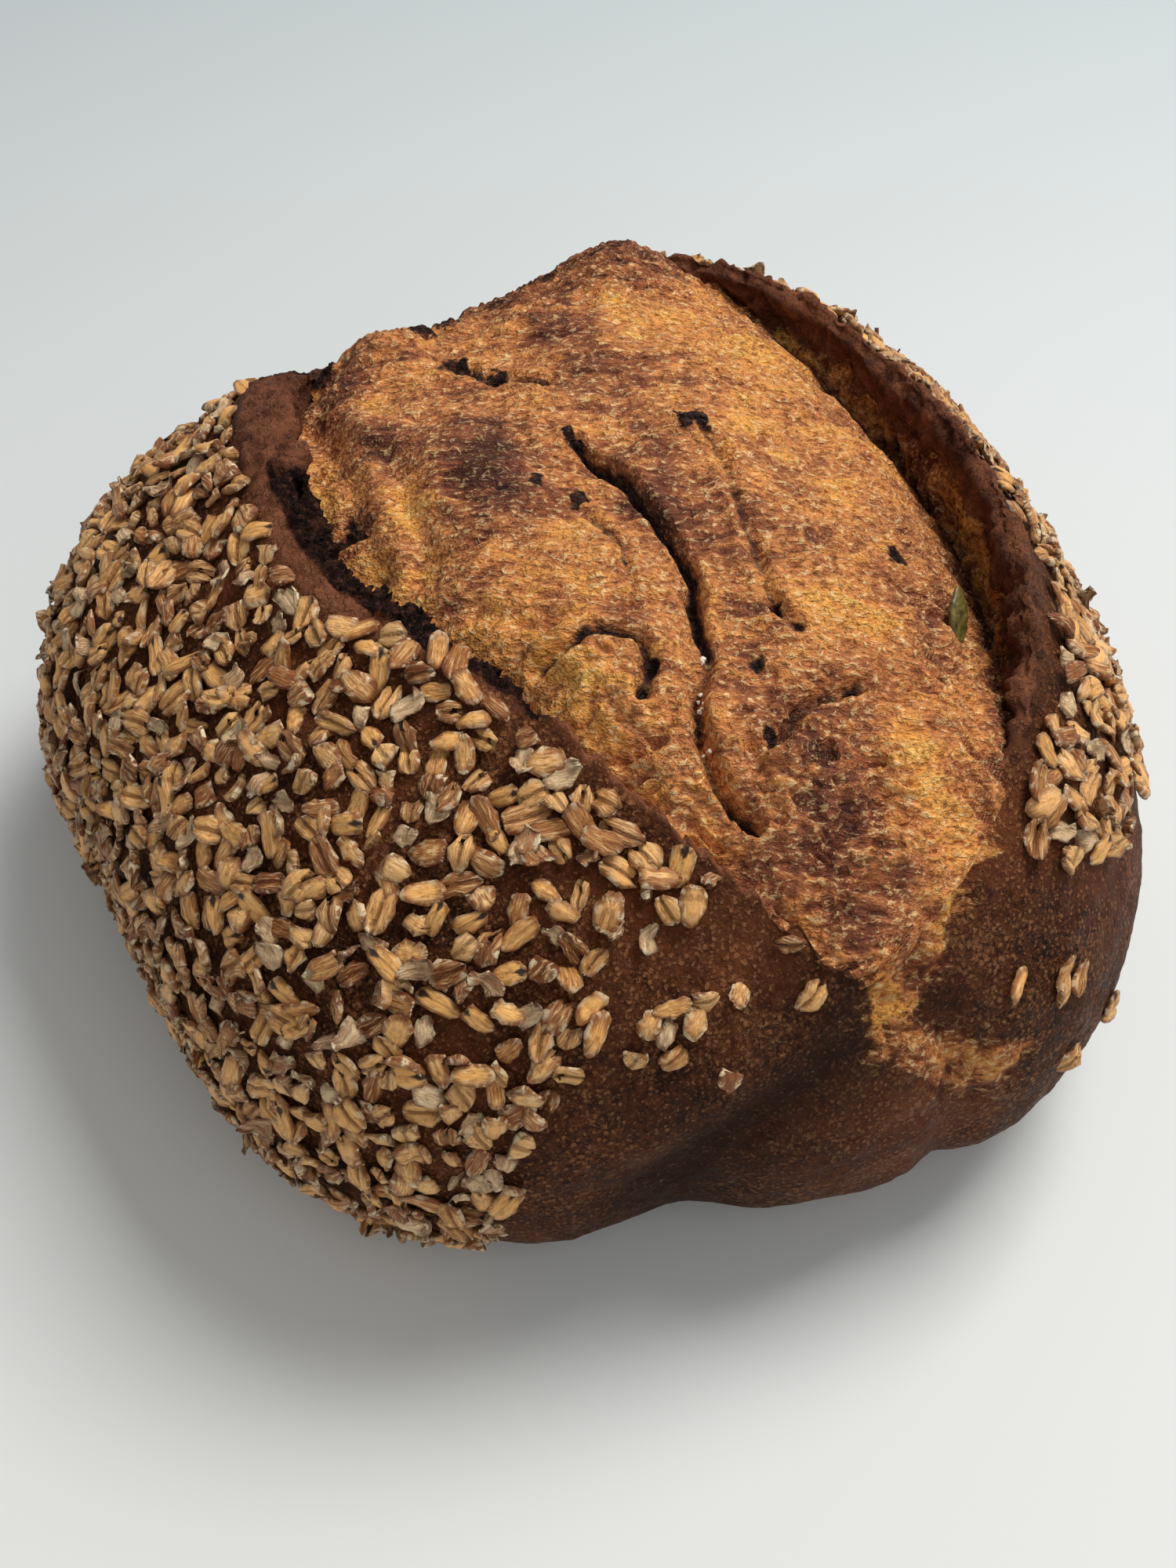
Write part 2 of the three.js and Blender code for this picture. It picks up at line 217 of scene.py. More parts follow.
def dough_height(x, y, left_y, right_y):
    z = dome_height(x, y)
    for lip, distance in ((LEFT_LIP, y - left_y), (RIGHT_LIP, right_y - y)):
        share = np.maximum(0, distance) / along_profile(lip["spread"], x)
        z = z - along_profile(lip["crease"], x) * np.exp(-(share ** lip["fall"]))
    for middle_x, middle_y, along, across, height in SWELLINGS:
        z = z + height * bell(x - middle_x, along) * bell(y - middle_y, across)
    return z - along_profile(FOLD_DEPTH, x) * bell(y - along_profile(FOLD_Y, x), FOLD_WIDTH)


print("slash edge lies", np.round(edge_radius(np.radians([0.0, 90, 180, 270]))), "mm from the middle")

# %% [markdown]
# ## Closed skins
#
# Crust and dough are both closed skins: rings of points between two poles. A UV sphere already has that
# order, with its faces pointing out and its poles closed. So each skin starts as a sphere with as many
# segments and rings as it needs, and each point of the sphere then moves to its place in the form.


# %% Shape a sphere into a skin
def deselect_all():
    if bpy.context.object and bpy.context.object.mode != "OBJECT":
        bpy.ops.object.mode_set(mode="OBJECT")
    bpy.ops.object.select_all(action="DESELECT")


def keep_marks(piece, marks):
    """Stores numbers for each point of a piece, for its material to read."""
    for name, values in marks.items():
        kind = "FLOAT_VECTOR" if values.ndim == 2 else "FLOAT"
        layer = piece.data.attributes.new(name, kind, "POINT")
        layer.data.foreach_set("vector" if values.ndim == 2 else "value", values.astype(np.float32).ravel())


def skin(name, rings, marks):
    """A closed skin through rings of points, in millimetres. Marks are numbers for each point."""
    ring_count, columns = rings.shape[:2]
    deselect_all()
    bpy.ops.mesh.primitive_uv_sphere_add(segments=columns, ring_count=ring_count + 1, radius=1)
    piece = bpy.context.object
    piece.name = name
    piece.data.name = name
    sphere = np.empty(len(piece.data.vertices) * 3, np.float32)
    piece.data.vertices.foreach_get("co", sphere)
    sphere = sphere.reshape(-1, 3)
    ring = np.rint(np.arccos(np.clip(sphere[:, 2], -1, 1)) / math.pi * (ring_count + 1)).astype(int) - 1
    column = np.rint(np.arctan2(sphere[:, 1], sphere[:, 0]) / (2 * math.pi) * columns).astype(int) % columns
    top = ring < 0
    bottom = ring >= ring_count
    ring = np.clip(ring, 0, ring_count - 1)

    def spread(values):
        placed = values[ring, column]
        placed[top] = values[0].mean(axis=0)
        placed[bottom] = values[-1].mean(axis=0)
        return placed

    places = (spread(rings) - BOX_MIDDLE) * MILLIMETRE
    piece.data.vertices.foreach_set("co", places.astype(np.float32).ravel())
    piece.data.update()
    bpy.ops.object.shade_smooth()
    keep_marks(piece, {key: spread(values) for key, values in marks.items()})
    print(name, "has", len(piece.data.polygons), "faces")
    return piece


def outward(rings):
    """The direction square to a skin at each point of its rings."""
    round_it = np.roll(rings, -1, axis=1) - np.roll(rings, 1, axis=1)
    down_it = np.gradient(rings, axis=0)
    square = np.cross(down_it, round_it)
    return square / np.maximum(np.linalg.norm(square, axis=-1, keepdims=True), 1e-9)


# %% [markdown]
# ## The crust
#
# The crust is the skin that was outside when the loaf went into the oven. It is smooth and leathery
# between the oats, with small blisters, and it tore into two lips along the slash. The left lip rises as
# a bare strip to a ragged, charred ridge. The right one is thick and rolls over towards the dough.
# Rings of points run from a basin hidden under the dough, up the lip's inner wall, over its crest and
# down the flank to the base. Fine relief is then pushed out square to the surface.

# %% Lay the rings of the crust
CRUST_COLUMNS = 700
WALL_RINGS = 14
CREST_RINGS = 4
STRIP_RINGS = 14
FLANK_RINGS = 86
BASE_RINGS = 14
FLANK_CROWDING = 1.12
CREST_WIDTH = 2
# The char begins and ends between these places along the left lip, and this far in from its edge.
CHAR_BEGINS = (-38, -26)
CHAR_ENDS = (46, 58)
CHAR_START = 2.3
CHAR_FALL = 2
ROPE_BEGINS = (36, 52)


def lip_values(key, x, is_left):
    return np.where(is_left, along_profile(LEFT_LIP[key], x), along_profile(RIGHT_LIP[key], x))


crust_angle = np.arange(CRUST_COLUMNS) / CRUST_COLUMNS * 2 * math.pi
edge_distance = edge_radius(crust_angle)
edge_x = edge_distance * np.cos(crust_angle)
edge_y = edge_distance * np.sin(crust_angle)
is_left = edge_y < SLASH_Y
lift = lip_values("lift", edge_x, is_left)
rim = lip_values("rim", edge_x, is_left)
crease = lip_values("crease", edge_x, is_left)
edge_line = np.stack([edge_x, edge_y, 0 * edge_x], axis=-1)
# At the front the left lip ends in a ragged rope of crust.
rope = np.clip(1.1 + 1.5 * rough(edge_line, 6, 4, seed=13, keep=0.8), -0.4, 3.2)
rim = rim + ease(edge_x, *ROPE_BEGINS) * rope
lean = np.minimum(lip_values("lean", edge_x, is_left), rim / 4)
lip_width = np.where(is_left, LEFT_LIP["width"], RIGHT_LIP["width"])
ragged = rough(edge_line, 7, 4, seed=11, keep=0.7)
charred = np.where(is_left, ease(edge_x, *CHAR_BEGINS) * (1 - ease(edge_x, *CHAR_ENDS)), 0)
crest_in = np.maximum(rim - CREST_WIDTH, rim / 2)
crest_drop = np.where(is_left, 0.8, 0.8 + 1.8 * ease(lift, 2, 6))
roll = np.where(is_left, 0.2, 1.2 * ease(lift, 2, 6))


def in_from_edge(distance, rise):
    """Points a distance inwards from the slash's edge, raised above the dome."""
    share = 1 - distance / edge_distance
    x = edge_x * share
    y = edge_y * share
    return np.stack([x, y, dome_height(x, y) + rise], axis=-1)


def char_slope(inward):
    """The charred face falls away from the strip's crest towards the dough."""
    return -charred * CHAR_FALL * ease(inward, CHAR_START, np.maximum(rim, CHAR_START + 1))


rows = []
inward_of_row = []


def add_ring(points, inward):
    """Adds a ring of points, and how far in from the slash's edge each of them is."""
    rows.append(points)
    inward_of_row.append(inward + np.zeros_like(crust_angle))


# The basin that the dough hides: its floor, its rim and the foot of the lip's wall.
BASIN_FLOOR_Z = 61
basin_rim = np.maximum(45, dome_height(edge_x, edge_y) - 20)
add_ring(np.stack([edge_x * 0.3, edge_y * 0.3, np.full_like(edge_x, BASIN_FLOOR_Z)], axis=-1), rim + 20)
add_ring(np.stack([edge_x * 0.7, edge_y * 0.7, basin_rim], axis=-1), rim + 12)
add_ring(in_from_edge(rim + 4.5, -crease - 5), rim + 4.5)
# Up the inner wall, over the crest, and back across the strip to the slash's edge.
for share in np.linspace(0, 1, WALL_RINGS):
    overhang = 1.2 * np.sin(share * math.pi) * np.clip(crease / 8, 0, 1)
    inward = rim + 0.5 * (1 - share) - overhang + charred * ragged * 0.8 * share
    rise = (-crease - 1) * (1 - share) + (lift - crest_drop + charred * ragged + char_slope(rim)) * share
    add_ring(in_from_edge(inward, rise), inward)
for share in np.linspace(0, 1, CREST_RINGS + 1)[1:]:
    turn = share * math.pi / 2
    inward = crest_in + (rim - crest_in) * (1 - math.sin(turn)) + charred * ragged * 0.8 * (1 - share)
    rise = lift - crest_drop * (1 - math.sin(turn)) + charred * ragged + char_slope(inward)
    add_ring(in_from_edge(inward, rise), inward)
for share in np.linspace(1, 0, STRIP_RINGS + 1)[1:]:
    inward = lean + (crest_in - lean) * share
    rise = lift + charred * ragged * ease(share, 0.45, 1) + char_slope(inward)
    rise = rise + roll * math.sin(share * math.pi)
    add_ring(in_from_edge(inward, rise), inward)
# Down the flank, where the lip's lean and lift fade out.
edge_latitude = np.arccos((edge_distance / plan_radius(crust_angle)) ** (TOP_POWER / 2))
for ring in range(1, FLANK_RINGS + 1):
    latitude = edge_latitude * (1 - (ring / FLANK_RINGS) ** FLANK_CROWDING)
    point = flank_point(crust_angle, latitude)
    away = np.hypot(point[:, 0] - edge_x, point[:, 1] - edge_y)
    nearness = np.maximum(0, 1 - away / lip_width) ** 2
    point[:, :2] *= (1 - lean * nearness / np.hypot(point[:, 0], point[:, 1]))[:, None]
    point[:, 2] += lift * nearness
    add_ring(point, -away)
# Round under to the flat base.
FAR_OUTSIDE = -99
for ring in range(1, BASE_RINGS + 1):
    depth_share = ring / BASE_RINGS * WIDEST_Z / UNDER_DEPTH
    latitude = np.full_like(crust_angle, -math.asin(depth_share ** (UNDER_POWER / 2)))
    add_ring(flank_point(crust_angle, latitude), FAR_OUTSIDE)
add_ring(rows[-1] * np.array([0.6, 0.6, 1]), FAR_OUTSIDE)
crust_rings = np.array(rows)
crust_inward = np.array(inward_of_row)
print("crust rings:", crust_rings.shape[0], "of", CRUST_COLUMNS, "points")

# %% Marks and fine relief of the crust
# How charred each point is (its black holes are painted shade), how dark as a lip (partly painted shade
# on the right lip's inner wall), and how golden as a tear.
# The golden tear at the front lies between two lines, by latitude and angle in degrees.
GOLD_LEFT = [(0, 11), (8, 8), (16, 4), (22, 2), (31, 3), (37, 0), (44, -5.5)]
GOLD_RIGHT = [(0, 22), (8, 18), (15, 13), (21, 10), (28, 13), (40, 22), (50, 36)]
# Two holes open where the back of the left lip folds over, painted black as shade: x, y, radius.
LIP_HOLES = [(-21, -48, 5), (-13, -44, 3)]
height_share = np.clip((crust_rings[..., 2] - WIDEST_Z) / (CREST_Z - WIDEST_Z), 0, 1)
crust_latitude = np.arcsin(np.clip(height_share ** (TOP_POWER / 2), 0, 1))
above_widest = crust_rings[..., 2] - WIDEST_Z
crust_latitude = np.where(above_widest < 0, above_widest / 60, crust_latitude)
column_angle = np.broadcast_to(crust_angle, crust_inward.shape)
wobble = rough(crust_rings, 6, 3, seed=23)
left_char = charred * ease(crust_inward + 0.8 * wobble, CHAR_START - 0.6, CHAR_START + 1.2)
right_crest = np.where(is_left, 0, ease(lift, 1, 5)) * bell(crust_inward - crest_in, 3)
char_and_shade = left_char * (0.85 + 0.3 * wobble) + right_crest * (0.3 + 0.3 * wobble)
# The holes are painted black as shade, through the char mark.
for hole_x, hole_y, radius in LIP_HOLES:
    distance = np.hypot(crust_rings[..., 0] - hole_x, crust_rings[..., 1] - hole_y) * (1 + 0.3 * wobble)
    char_and_shade = np.maximum(char_and_shade, ease(distance, radius, radius * 0.6))
char_and_shade = np.clip(char_and_shade, 0, 1)
# The lips are darker as baked, and the right lip's inner wall also gets painted shade.
dark_lip_and_shade = np.where(is_left, ease(-edge_x, 18, 34), ease(lift, 0.5, 4)) * ease(crust_inward, -4.5, 0.5)
left_strip = ease(edge_x, -75, -50) * ease(crust_inward, -2.5, 0)
left_strip = left_strip * (1 + ease(edge_x, 35, 55) * (1.6 * bell(crust_inward - rim, 1.3) - 1))
bare_strip = np.where(is_left, left_strip, 0.9 * ease(lift, 1, 5) * bell(crust_inward - rim / 2, 2.4))
crust_x, crust_y, crust_z = np.moveaxis(crust_rings, -1, 0)
degrees_up = np.degrees(crust_latitude)
turn = (np.degrees(column_angle) + 180) % 360 - 180
past_left = turn - along_profile(GOLD_LEFT, degrees_up) + 2 * wobble
past_right = along_profile(GOLD_RIGHT, degrees_up) - turn + 3 * wobble
golden = ease(past_left, -2, 3) * ease(past_right, -3, 4) * ease(degrees_up, -3, 13) * (crust_inward < 2)
below_crest = dome_height(crust_x, crust_y) + lift - crust_z
wall_foot = np.where(is_left, 0, ease(below_crest + 2 * wobble, 8, 13)) * (crust_inward > rim - 2)
golden = np.clip(golden + 0.9 * wall_foot, 0, 1)
tear_bake = 0.56 + 0.3 * rough(crust_rings, 8, 2, seed=29)
tear_bake = tear_bake + 0.3 * (1 - golden) + 0.16 * ease(-degrees_up, -26, -4)
tear_bake = np.clip(tear_bake, 0, 1)

relief = 0.7 * rough(crust_rings, 28, 2, seed=31) + 0.22 * rough(crust_rings, 8, 2, seed=37)
relief = relief + 0.2 * rough(crust_rings, 2.6, 2, seed=41)
fibres = rough(crust_rings * np.array([1, 1, 0.35]), 3.2, 3, seed=43)
torn_ridges = 1 - 2 * np.abs(fibres)
relief = relief + golden * (0.9 * torn_ridges - 0.5 + 0.7 * rough(crust_rings, 7, 2, seed=59))
relief = relief + char_and_shade * 1.4 * rough(crust_rings, 3.2, 4, seed=47, keep=0.8)
relief = relief + dark_lip_and_shade * 1.1 * rough(crust_rings, 5, 4, seed=53, keep=0.65)
for hole_x, hole_y, radius in LIP_HOLES:
    distance = np.hypot(crust_x - hole_x, crust_y - hole_y)
    relief = relief - 2.6 * bell(distance, radius * 0.6)
hidden = crust_inward > rim + 2.5
under = ease(crust_rings[..., 2], 0.5, 6)
relief = np.where(hidden, 0, relief) * under
crust_rings = crust_rings + outward(crust_rings) * relief[..., None]
crust_rings[..., 2] = np.maximum(crust_rings[..., 2], 0)
crust_marks = dict(char_and_shade=char_and_shade, dark_lip_and_shade=dark_lip_and_shade, golden=golden, bake_and_shade=tear_bake, strip=bare_strip)
# Painted shade: the crust darkens along the valley down to the notch at the base.
notch_shade = bell(beside_line(VALLEY, column_angle, crust_latitude), 9) * ease(degrees_up, 42, 20)
crust_marks["notch_shade"] = np.clip(notch_shade, 0, 1)
# Through this mark raised torn ridges get a painted highlight and low ones painted shade.
crust_marks["ridge_light_and_shade"] = np.clip(0.5 + 0.5 * torn_ridges, 0, 1)
crust = skin("crust", crust_rings, crust_marks)

# %% [markdown]
# ## The torn dough
#
# The dough that burst out has no skin of its own, so it baked as a torn, fibrous surface. Its fibres lie
# across the slash, and three things break them: long creases, a curled hook and a few charred pits.
# The relief could be a modifier's texture, but then the colours could not follow it. Here the same
# numbers that push the surface in or out are also stored as marks, so a deep crease also gets painted dark
# shade.

# %% Creases, pits and patches of the torn dough, in millimetres
# Each crease is a line of (x, y) points with its width, its depth and how black it is, as painted shade.
CREASES = [
    dict(line=[(-9, 1), (5, 5), (20, 6), (30, 6), (40, 2.5), (46, 1), (50, -3), (56, -5), (66, -6), (74, -3)],
         width=1.0, depth=2.4, black=1.0),
    dict(line=[(-2, 23), (10, 23), (26, 19), (34, 18), (41, 16), (46, 18)], width=1.1, depth=1.3, black=0.62),
    dict(line=[(58, 23), (58, 16), (59, 12), (62, 9), (64, 5), (62, 2)], width=1.4, depth=2.6, black=1.0),
    dict(line=[(62, 1), (67, 1), (70, 6), (68, 12), (63, 15)], width=1.0, depth=1.3, black=0.5),
    dict(line=[(36, -24), (35.5, -17), (36.5, -12), (39, -8.5), (43, -8.5), (49, -12)],
         width=1.3, depth=2.6, black=0.9),
    dict(line=[(8, -6), (20, -3), (27, -5), (33, -6)], width=0.9, depth=0.9, black=0.6),
    dict(line=[(-27, -31), (-9, -32), (6, -34)], width=2.6, depth=1.8, black=0.0),
    dict(line=[(-46, -38), (-22, -38), (2, -41)], width=2.2, depth=1.6, black=0.0),
    dict(line=[(-48, -8), (-38, -4), (-30, 4)], width=1.4, depth=1.4, black=0.8),
    dict(line=[(20, -30), (30, -22), (33, -14)], width=1.4, depth=1.2, black=0.25),
    dict(line=[(48, -30), (54, -24), (56, -14), (52, -8)], width=1.2, depth=1.3, black=0.35),
    dict(line=[(60, -20), (67, -14), (75, -9), (82, -6), (90, 0)], width=1.6, depth=1.2, black=0.4),
    dict(line=[(75, 20), (79, 10), (80, 0)], width=1.0, depth=0.8, black=0.3),
]
# Each pit or knob: x, y, radius, rise, and how black it is.
PITS = [
    (-9, 1, 3, 1.2, 0.95), (-4, 22, 3.6, 1.2, 0.95), (-13, 29, 2.2, -1.0, 0.8), (17, 12, 1.2, -0.8, 0.8),
    (49, 9, 1.6, -0.9, 0.8), (49, -27, 3.2, -2.4, 0.7), (-1, -10, 2.6, 0.8, 1.0), (6, -5, 2.6, -0.6, 0.85),
    (-1, -17, 1.7, -0.5, 0.8), (41, 16, 2.2, -1.2, 1.0), (46, 18, 1.8, -0.8, 0.9), (-48, -8, 4.0, 0.6, 0.8),
    (-38, -4, 4.0, -1.0, 0.85), (-52, 10, 3.0, 0.8, 0.6), (33, 45, 2.6, -1.6, 0.9), (46, 52, 2.8, -2.0, 0.8),
    (62, 6, 1.8, -1.2, 0.95), (-12, -42, 3.4, -1.4, 1.0), (86, -2, 2.4, -1.5, 0.5), (-66, -8, 5.0, 1.6, 0.8),
    (-68, -30, 4.0, 2.4, 0.9), (-76, 20, 6.0, 1.2, 0.7), (-80, 0, 5.0, 1.2, 0.7),
    (44, -8, 1.6, -1.2, 0.9), (24, -4, 1.2, -0.6, 0.7),
]
# Lobes of dough that swell between the creases: x, y, along, across, height.
LOBES = [
    (-12, -20, 15, 8, 1.8), (-36, -32, 10, 3.5, 1.5), (44, -19, 8, 7, 1.6), (66, 7, 5, 5, 1.2),
    (28, -2, 14, 5, 0.9), (6, 14, 22, 5, 1.0), (-2, 44, 24, 6, -1.2), (60, -14, 9, 7, 1.0),
    (24, 28, 18, 5, 0.8), (-40, 14, 14, 9, 1.4),
]
# Patches that baked darker (above 0) or stayed golden (below 0): x, y, along, across, amount.
PATCHES = [
    (-8, 42, 22, 10, -0.1), (30, 50, 18, 7, 0.14), (60, 35, 16, 9, -0.02), (72, 26, 11, 7, -0.24),
    (80, 8, 11, 9, 0.24), (91, 9, 8, 9, 0.28), (56, 4, 12, 9, 0.2), (20, 12, 14, 5, 0.1),
    (22, -8, 14, 10, -0.1), (28, -25, 12, 7, -0.1), (44, -20, 9, 8, -0.28), (-8, -17, 14, 9, 0.5),
    (-30, -31, 8, 5, 0.5), (-54, -30, 10, 7, 0.4), (-6, -33, 12, 3.5, -0.25), (8, -41, 14, 4, -0.3),
    (-35, 8, 22, 16, 0.04), (-66, 10, 20, 24, 0.16), (-72, 44, 20, 14, 0.35), (10, 5, 14, 8, 0.2),
    (-26, 16, 14, 8, 0.2), (-42, -27, 6, 4, -0.25), (-86, 8, 14, 40, 0.35), (67, 10, 5, 5, 0.1),
    (-14, -40, 5, 4, 0.3), (84, -6, 8, 4, 0.2), (-48, 26, 12, 5, -0.22), (-58, -6, 9, 6, -0.15),
]


def distance_to_line(line, x, y):
    """How far each point is from a line of points."""
    nearest = np.full(x.shape, np.inf)
    for (start_x, start_y), (end_x, end_y) in zip(line, line[1:]):
        along_x, along_y = end_x - start_x, end_y - start_y
        share = ((x - start_x) * along_x + (y - start_y) * along_y) / (along_x**2 + along_y**2)
        share = np.clip(share, 0, 1)
        nearest = np.minimum(nearest, np.hypot(x - start_x - share * along_x, y - start_y - share * along_y))
    return nearest


print(len(CREASES), "creases,", len(PITS), "pits and", len(PATCHES), "patches of colour")

# %% Lay the sections of the dough and press the relief into it
DOUGH_SECTIONS = 460
DOUGH_STRIPS = 210
DOUGH_END_SHARE = 0.985
TUCK_UNDER_LIP = 1.2
DOUGH_BOTTOM_Z = 30
FIBRE_TURN = math.radians(66.5)

swing = np.linspace(-1, 1, DOUGH_SECTIONS)
section_x = SLASH_MIDDLE_X + SLASH_HALF_LENGTH * DOUGH_END_SHARE * np.sin(swing) / math.sin(1)


def dough_half(lip):
    inset = along_profile(lip["rim"], section_x) - along_profile(lip["lean"], section_x) + 1.5
    return np.maximum(0.6, half_width(section_x, lip) - inset)


left_y = (SLASH_Y - dough_half(LEFT_LIP))[:, None]
right_y = (SLASH_Y + dough_half(RIGHT_LIP))[:, None]
x, share = np.meshgrid(section_x, np.linspace(0, 1, DOUGH_STRIPS), indexing="ij")
tuck = TUCK_UNDER_LIP * np.clip((right_y - left_y) / 20, 0, 1)
y = left_y - 2 * tuck + (right_y - left_y + 3 * tuck) * share
z = dough_height(x, y, left_y, right_y)

plan = np.stack([x, y, 0 * x], axis=-1)
warp_x = x + 2.2 * rough(plan, 11, 2, seed=61)
warp_y = y + 2.2 * rough(plan, 11, 2, seed=67)
warped = np.stack([warp_x, warp_y, 0 * x], axis=-1)
fibre_along = math.cos(FIBRE_TURN) * warp_x + math.sin(FIBRE_TURN) * warp_y
fibre_across = math.sin(FIBRE_TURN) * warp_x - math.cos(FIBRE_TURN) * warp_y
coarse = ripple(np.stack([fibre_along / 15, fibre_across / 3.4, 0 * x], axis=-1), 71)
middle = ripple(np.stack([fibre_along / 6, fibre_across / 1.7, 0 * x], axis=-1), 73)
fine = ripple(np.stack([fibre_along / 3, fibre_across / 1.0, 0 * x], axis=-1), 79)
hair = ripple(np.stack([fibre_along / 1.7, fibre_across / 0.75, 0 * x], axis=-1), 81)
fibre = 0.4 * coarse + 0.5 * (1 - 2.4 * np.abs(middle)) + 0.4 * (1 - 2.4 * np.abs(fine)) + 0.22 * hair
open_crumb = ease(x, 45, 80) + 0.6 * ease(x, 20, 45) * ease(np.abs(y - 4), 14, 26)
open_crumb = np.clip(open_crumb, 0, 1)
torn = rough(plan * np.array([1, 0.55, 1]), 4.2, 3, seed=83, keep=0.6)
shaggy = np.clip(open_crumb + ease(y, 22, 40) * 0.6 + ease(x, 25, 45) * ease(-y, 8, 20) * 0.7, 0, 1.2)
z = z + 0.85 * fibre * (0.6 + 0.9 * shaggy)
z = z + open_crumb * (0.8 * np.abs(torn) - 0.5 * np.abs(rough(plan, 7, 2, 89)))
z = z + 0.8 * rough(plan, 22, 2, seed=97) + 0.85 * rough(warped, 7, 3, seed=98, keep=0.6)
z = z + ease(-x, 40, 66) * 1.3 * rough(plan, 8, 4, seed=99, keep=0.75)
for middle_x, middle_y, along, across, height in LOBES:
    z = z + height * bell(x - middle_x, along) * bell(y - middle_y, across)

dough_char_and_shade = np.zeros_like(x)
wander = 0.5 * rough(plan, 5, 2, seed=101)
varied = np.clip(0.85 + 0.4 * rough(plan, 7, 2, seed=102), 0, 1)
blot = rough(plan, 2.2, 3, seed=103, keep=0.8)
for crease_line in CREASES:
    width = crease_line["width"]
    distance = distance_to_line(crease_line["line"], x + wander, y + wander)
    z = z - crease_line["depth"] * bell(distance, width)
    z = z + 0.4 * crease_line["depth"] * bell(distance - 2.4 * width, width)
    # Painted shade: each crease is drawn black along its line, through the char mark.
    dough_char_and_shade = np.maximum(dough_char_and_shade, varied * crease_line["black"] * bell(distance, width * 1.35))
for pit_x, pit_y, radius, rise, black in PITS:
    distance = np.hypot(x - pit_x, (y - pit_y) * 1.2) + radius * 0.5 * blot
    distance = np.maximum(distance, 0)
    z = z + rise * bell(distance, radius * 0.7)
    dough_char_and_shade = np.maximum(dough_char_and_shade, black * ease(distance, radius * 1.1, radius * 0.3))
bake_and_shade = 0.5 + 0.16 * rough(plan, 15, 3, seed=107)
for patch_x, patch_y, along, across, amount in PATCHES:
    bake_and_shade = bake_and_shade + amount * bell(x - patch_x, along) * bell(y - patch_y, across)
by_right = right_y - y
# Painted shade darkens the dough in the valley under the right lip.
shade_under_right_lip = ease(by_right, 9, 2) * ease(x, -70, -40) * ease(-x, -88, -60)
bake_and_shade = np.clip(bake_and_shade + 0.5 * shade_under_right_lip, 0, 1)
dough_char_and_shade = np.clip(dough_char_and_shade, 0, 1)
# Through this mark raised fibres get a painted highlight and low ones painted shade.
ridge_light_and_shade = np.clip(0.5 + 0.5 * fibre, 0, 1)

top_rows = np.stack([x, y, z], axis=-1)
under_rows = []
# Down the right side, along the bottom and up the left side.
for side, depth_share in ((1, 0.5), (1, 1), (0.5, 1), (0, 1), (0, 0.5)):
    under_y = y[:, :1] + (y[:, -1:] - y[:, :1]) * side
    edge_z = z[:, -1:] if side == 1 else z[:, :1]
    under_z = edge_z + (DOUGH_BOTTOM_Z - edge_z) * depth_share
    under_rows.append(np.stack([x[:, :1], under_y, under_z], axis=-1))
dough_rings = np.concatenate([top_rows, *under_rows], axis=1)


def with_under(values):
    return np.concatenate([values, np.repeat(values[:, :1], len(under_rows), axis=1)], axis=1)


dough_marks = dict(char_and_shade=with_under(dough_char_and_shade), bake_and_shade=with_under(bake_and_shade), ridge_light_and_shade=with_under(ridge_light_and_shade))
torn_dough = skin("torn_dough", dough_rings, dough_marks)

# %% [markdown]
# ## The oats
#
# Rolled oats are steamed grains pressed flat. Most are ovals 7 to 9 mm long with a deep furrow, and the
# edges are frayed. Some are smooth with the dark germ showing at one end, some have split in two lobes,
# some are broken squares, and the palest are curled scraps of bran and husk. Each kind is modelled once,
# as by hand: a sphere laid along X, pressed flat, with its furrow pushed in. It has few faces, because
# nearly three thousand oats are laid. Every copy is then bent, frayed and tilted in its own way, and
# about a third of them lie upside down, with their smooth side up.


# %% Shaping in edit mode
def pick(test):
    """In edit mode, selects only the points whose place passes the test."""
    bpy.ops.mesh.select_mode(type="VERT")
    bpy.ops.mesh.select_all(action="DESELECT")
    shape = bmesh.from_edit_mesh(bpy.context.edit_object.data)
    for point in shape.verts:
        point.select_set(bool(test(point.co)))
    bmesh.update_edit_mesh(bpy.context.edit_object.data)


def lay_grain(name, length, width, thickness, segments=12, rings=8):
    """A pressed grain along X, one unit to the millimetre, left open in edit mode."""
    deselect_all()
    bpy.ops.mesh.primitive_uv_sphere_add(segments=segments, ring_count=rings, radius=0.5)
    bpy.context.object.name = name
    bpy.ops.object.mode_set(mode="EDIT")
    bpy.ops.mesh.select_all(action="SELECT")
    bpy.ops.transform.rotate(value=math.pi / 2, orient_axis="Y", center_override=(0, 0, 0))
    bpy.ops.transform.resize(value=(length, width, thickness), center_override=(0, 0, 0))


def finish_grain():
    """Closes edit mode, gives the grain's points and faces, and removes the model."""
    bpy.ops.mesh.select_all(action="SELECT")
    bpy.ops.mesh.normals_make_consistent(inside=False)
    bpy.ops.object.mode_set(mode="OBJECT")
    model = bpy.context.object
    points = np.array([tuple(point.co) for point in model.data.vertices])
    faces = [tuple(face.vertices) for face in model.data.polygons]
    print(model.name, "grain has", len(faces), "faces, size", np.round(np.ptp(points, axis=0), 1), "mm")
    bpy.data.objects.remove(model)
    return points, faces


# %% Five kinds of oat
def furrowed_grain():
    lay_grain("furrowed", 7.6, 4.9, 1.9)
    pick(lambda place: abs(place.y) < 0.2 and place.z > 0.05)
    bpy.ops.transform.translate(value=(0, 0, -1.0))
    pick(lambda place: 1.0 < abs(place.y) < 2.4 and place.z > 0.05)
    bpy.ops.transform.translate(value=(0, 0, 0.25))
    return finish_grain()


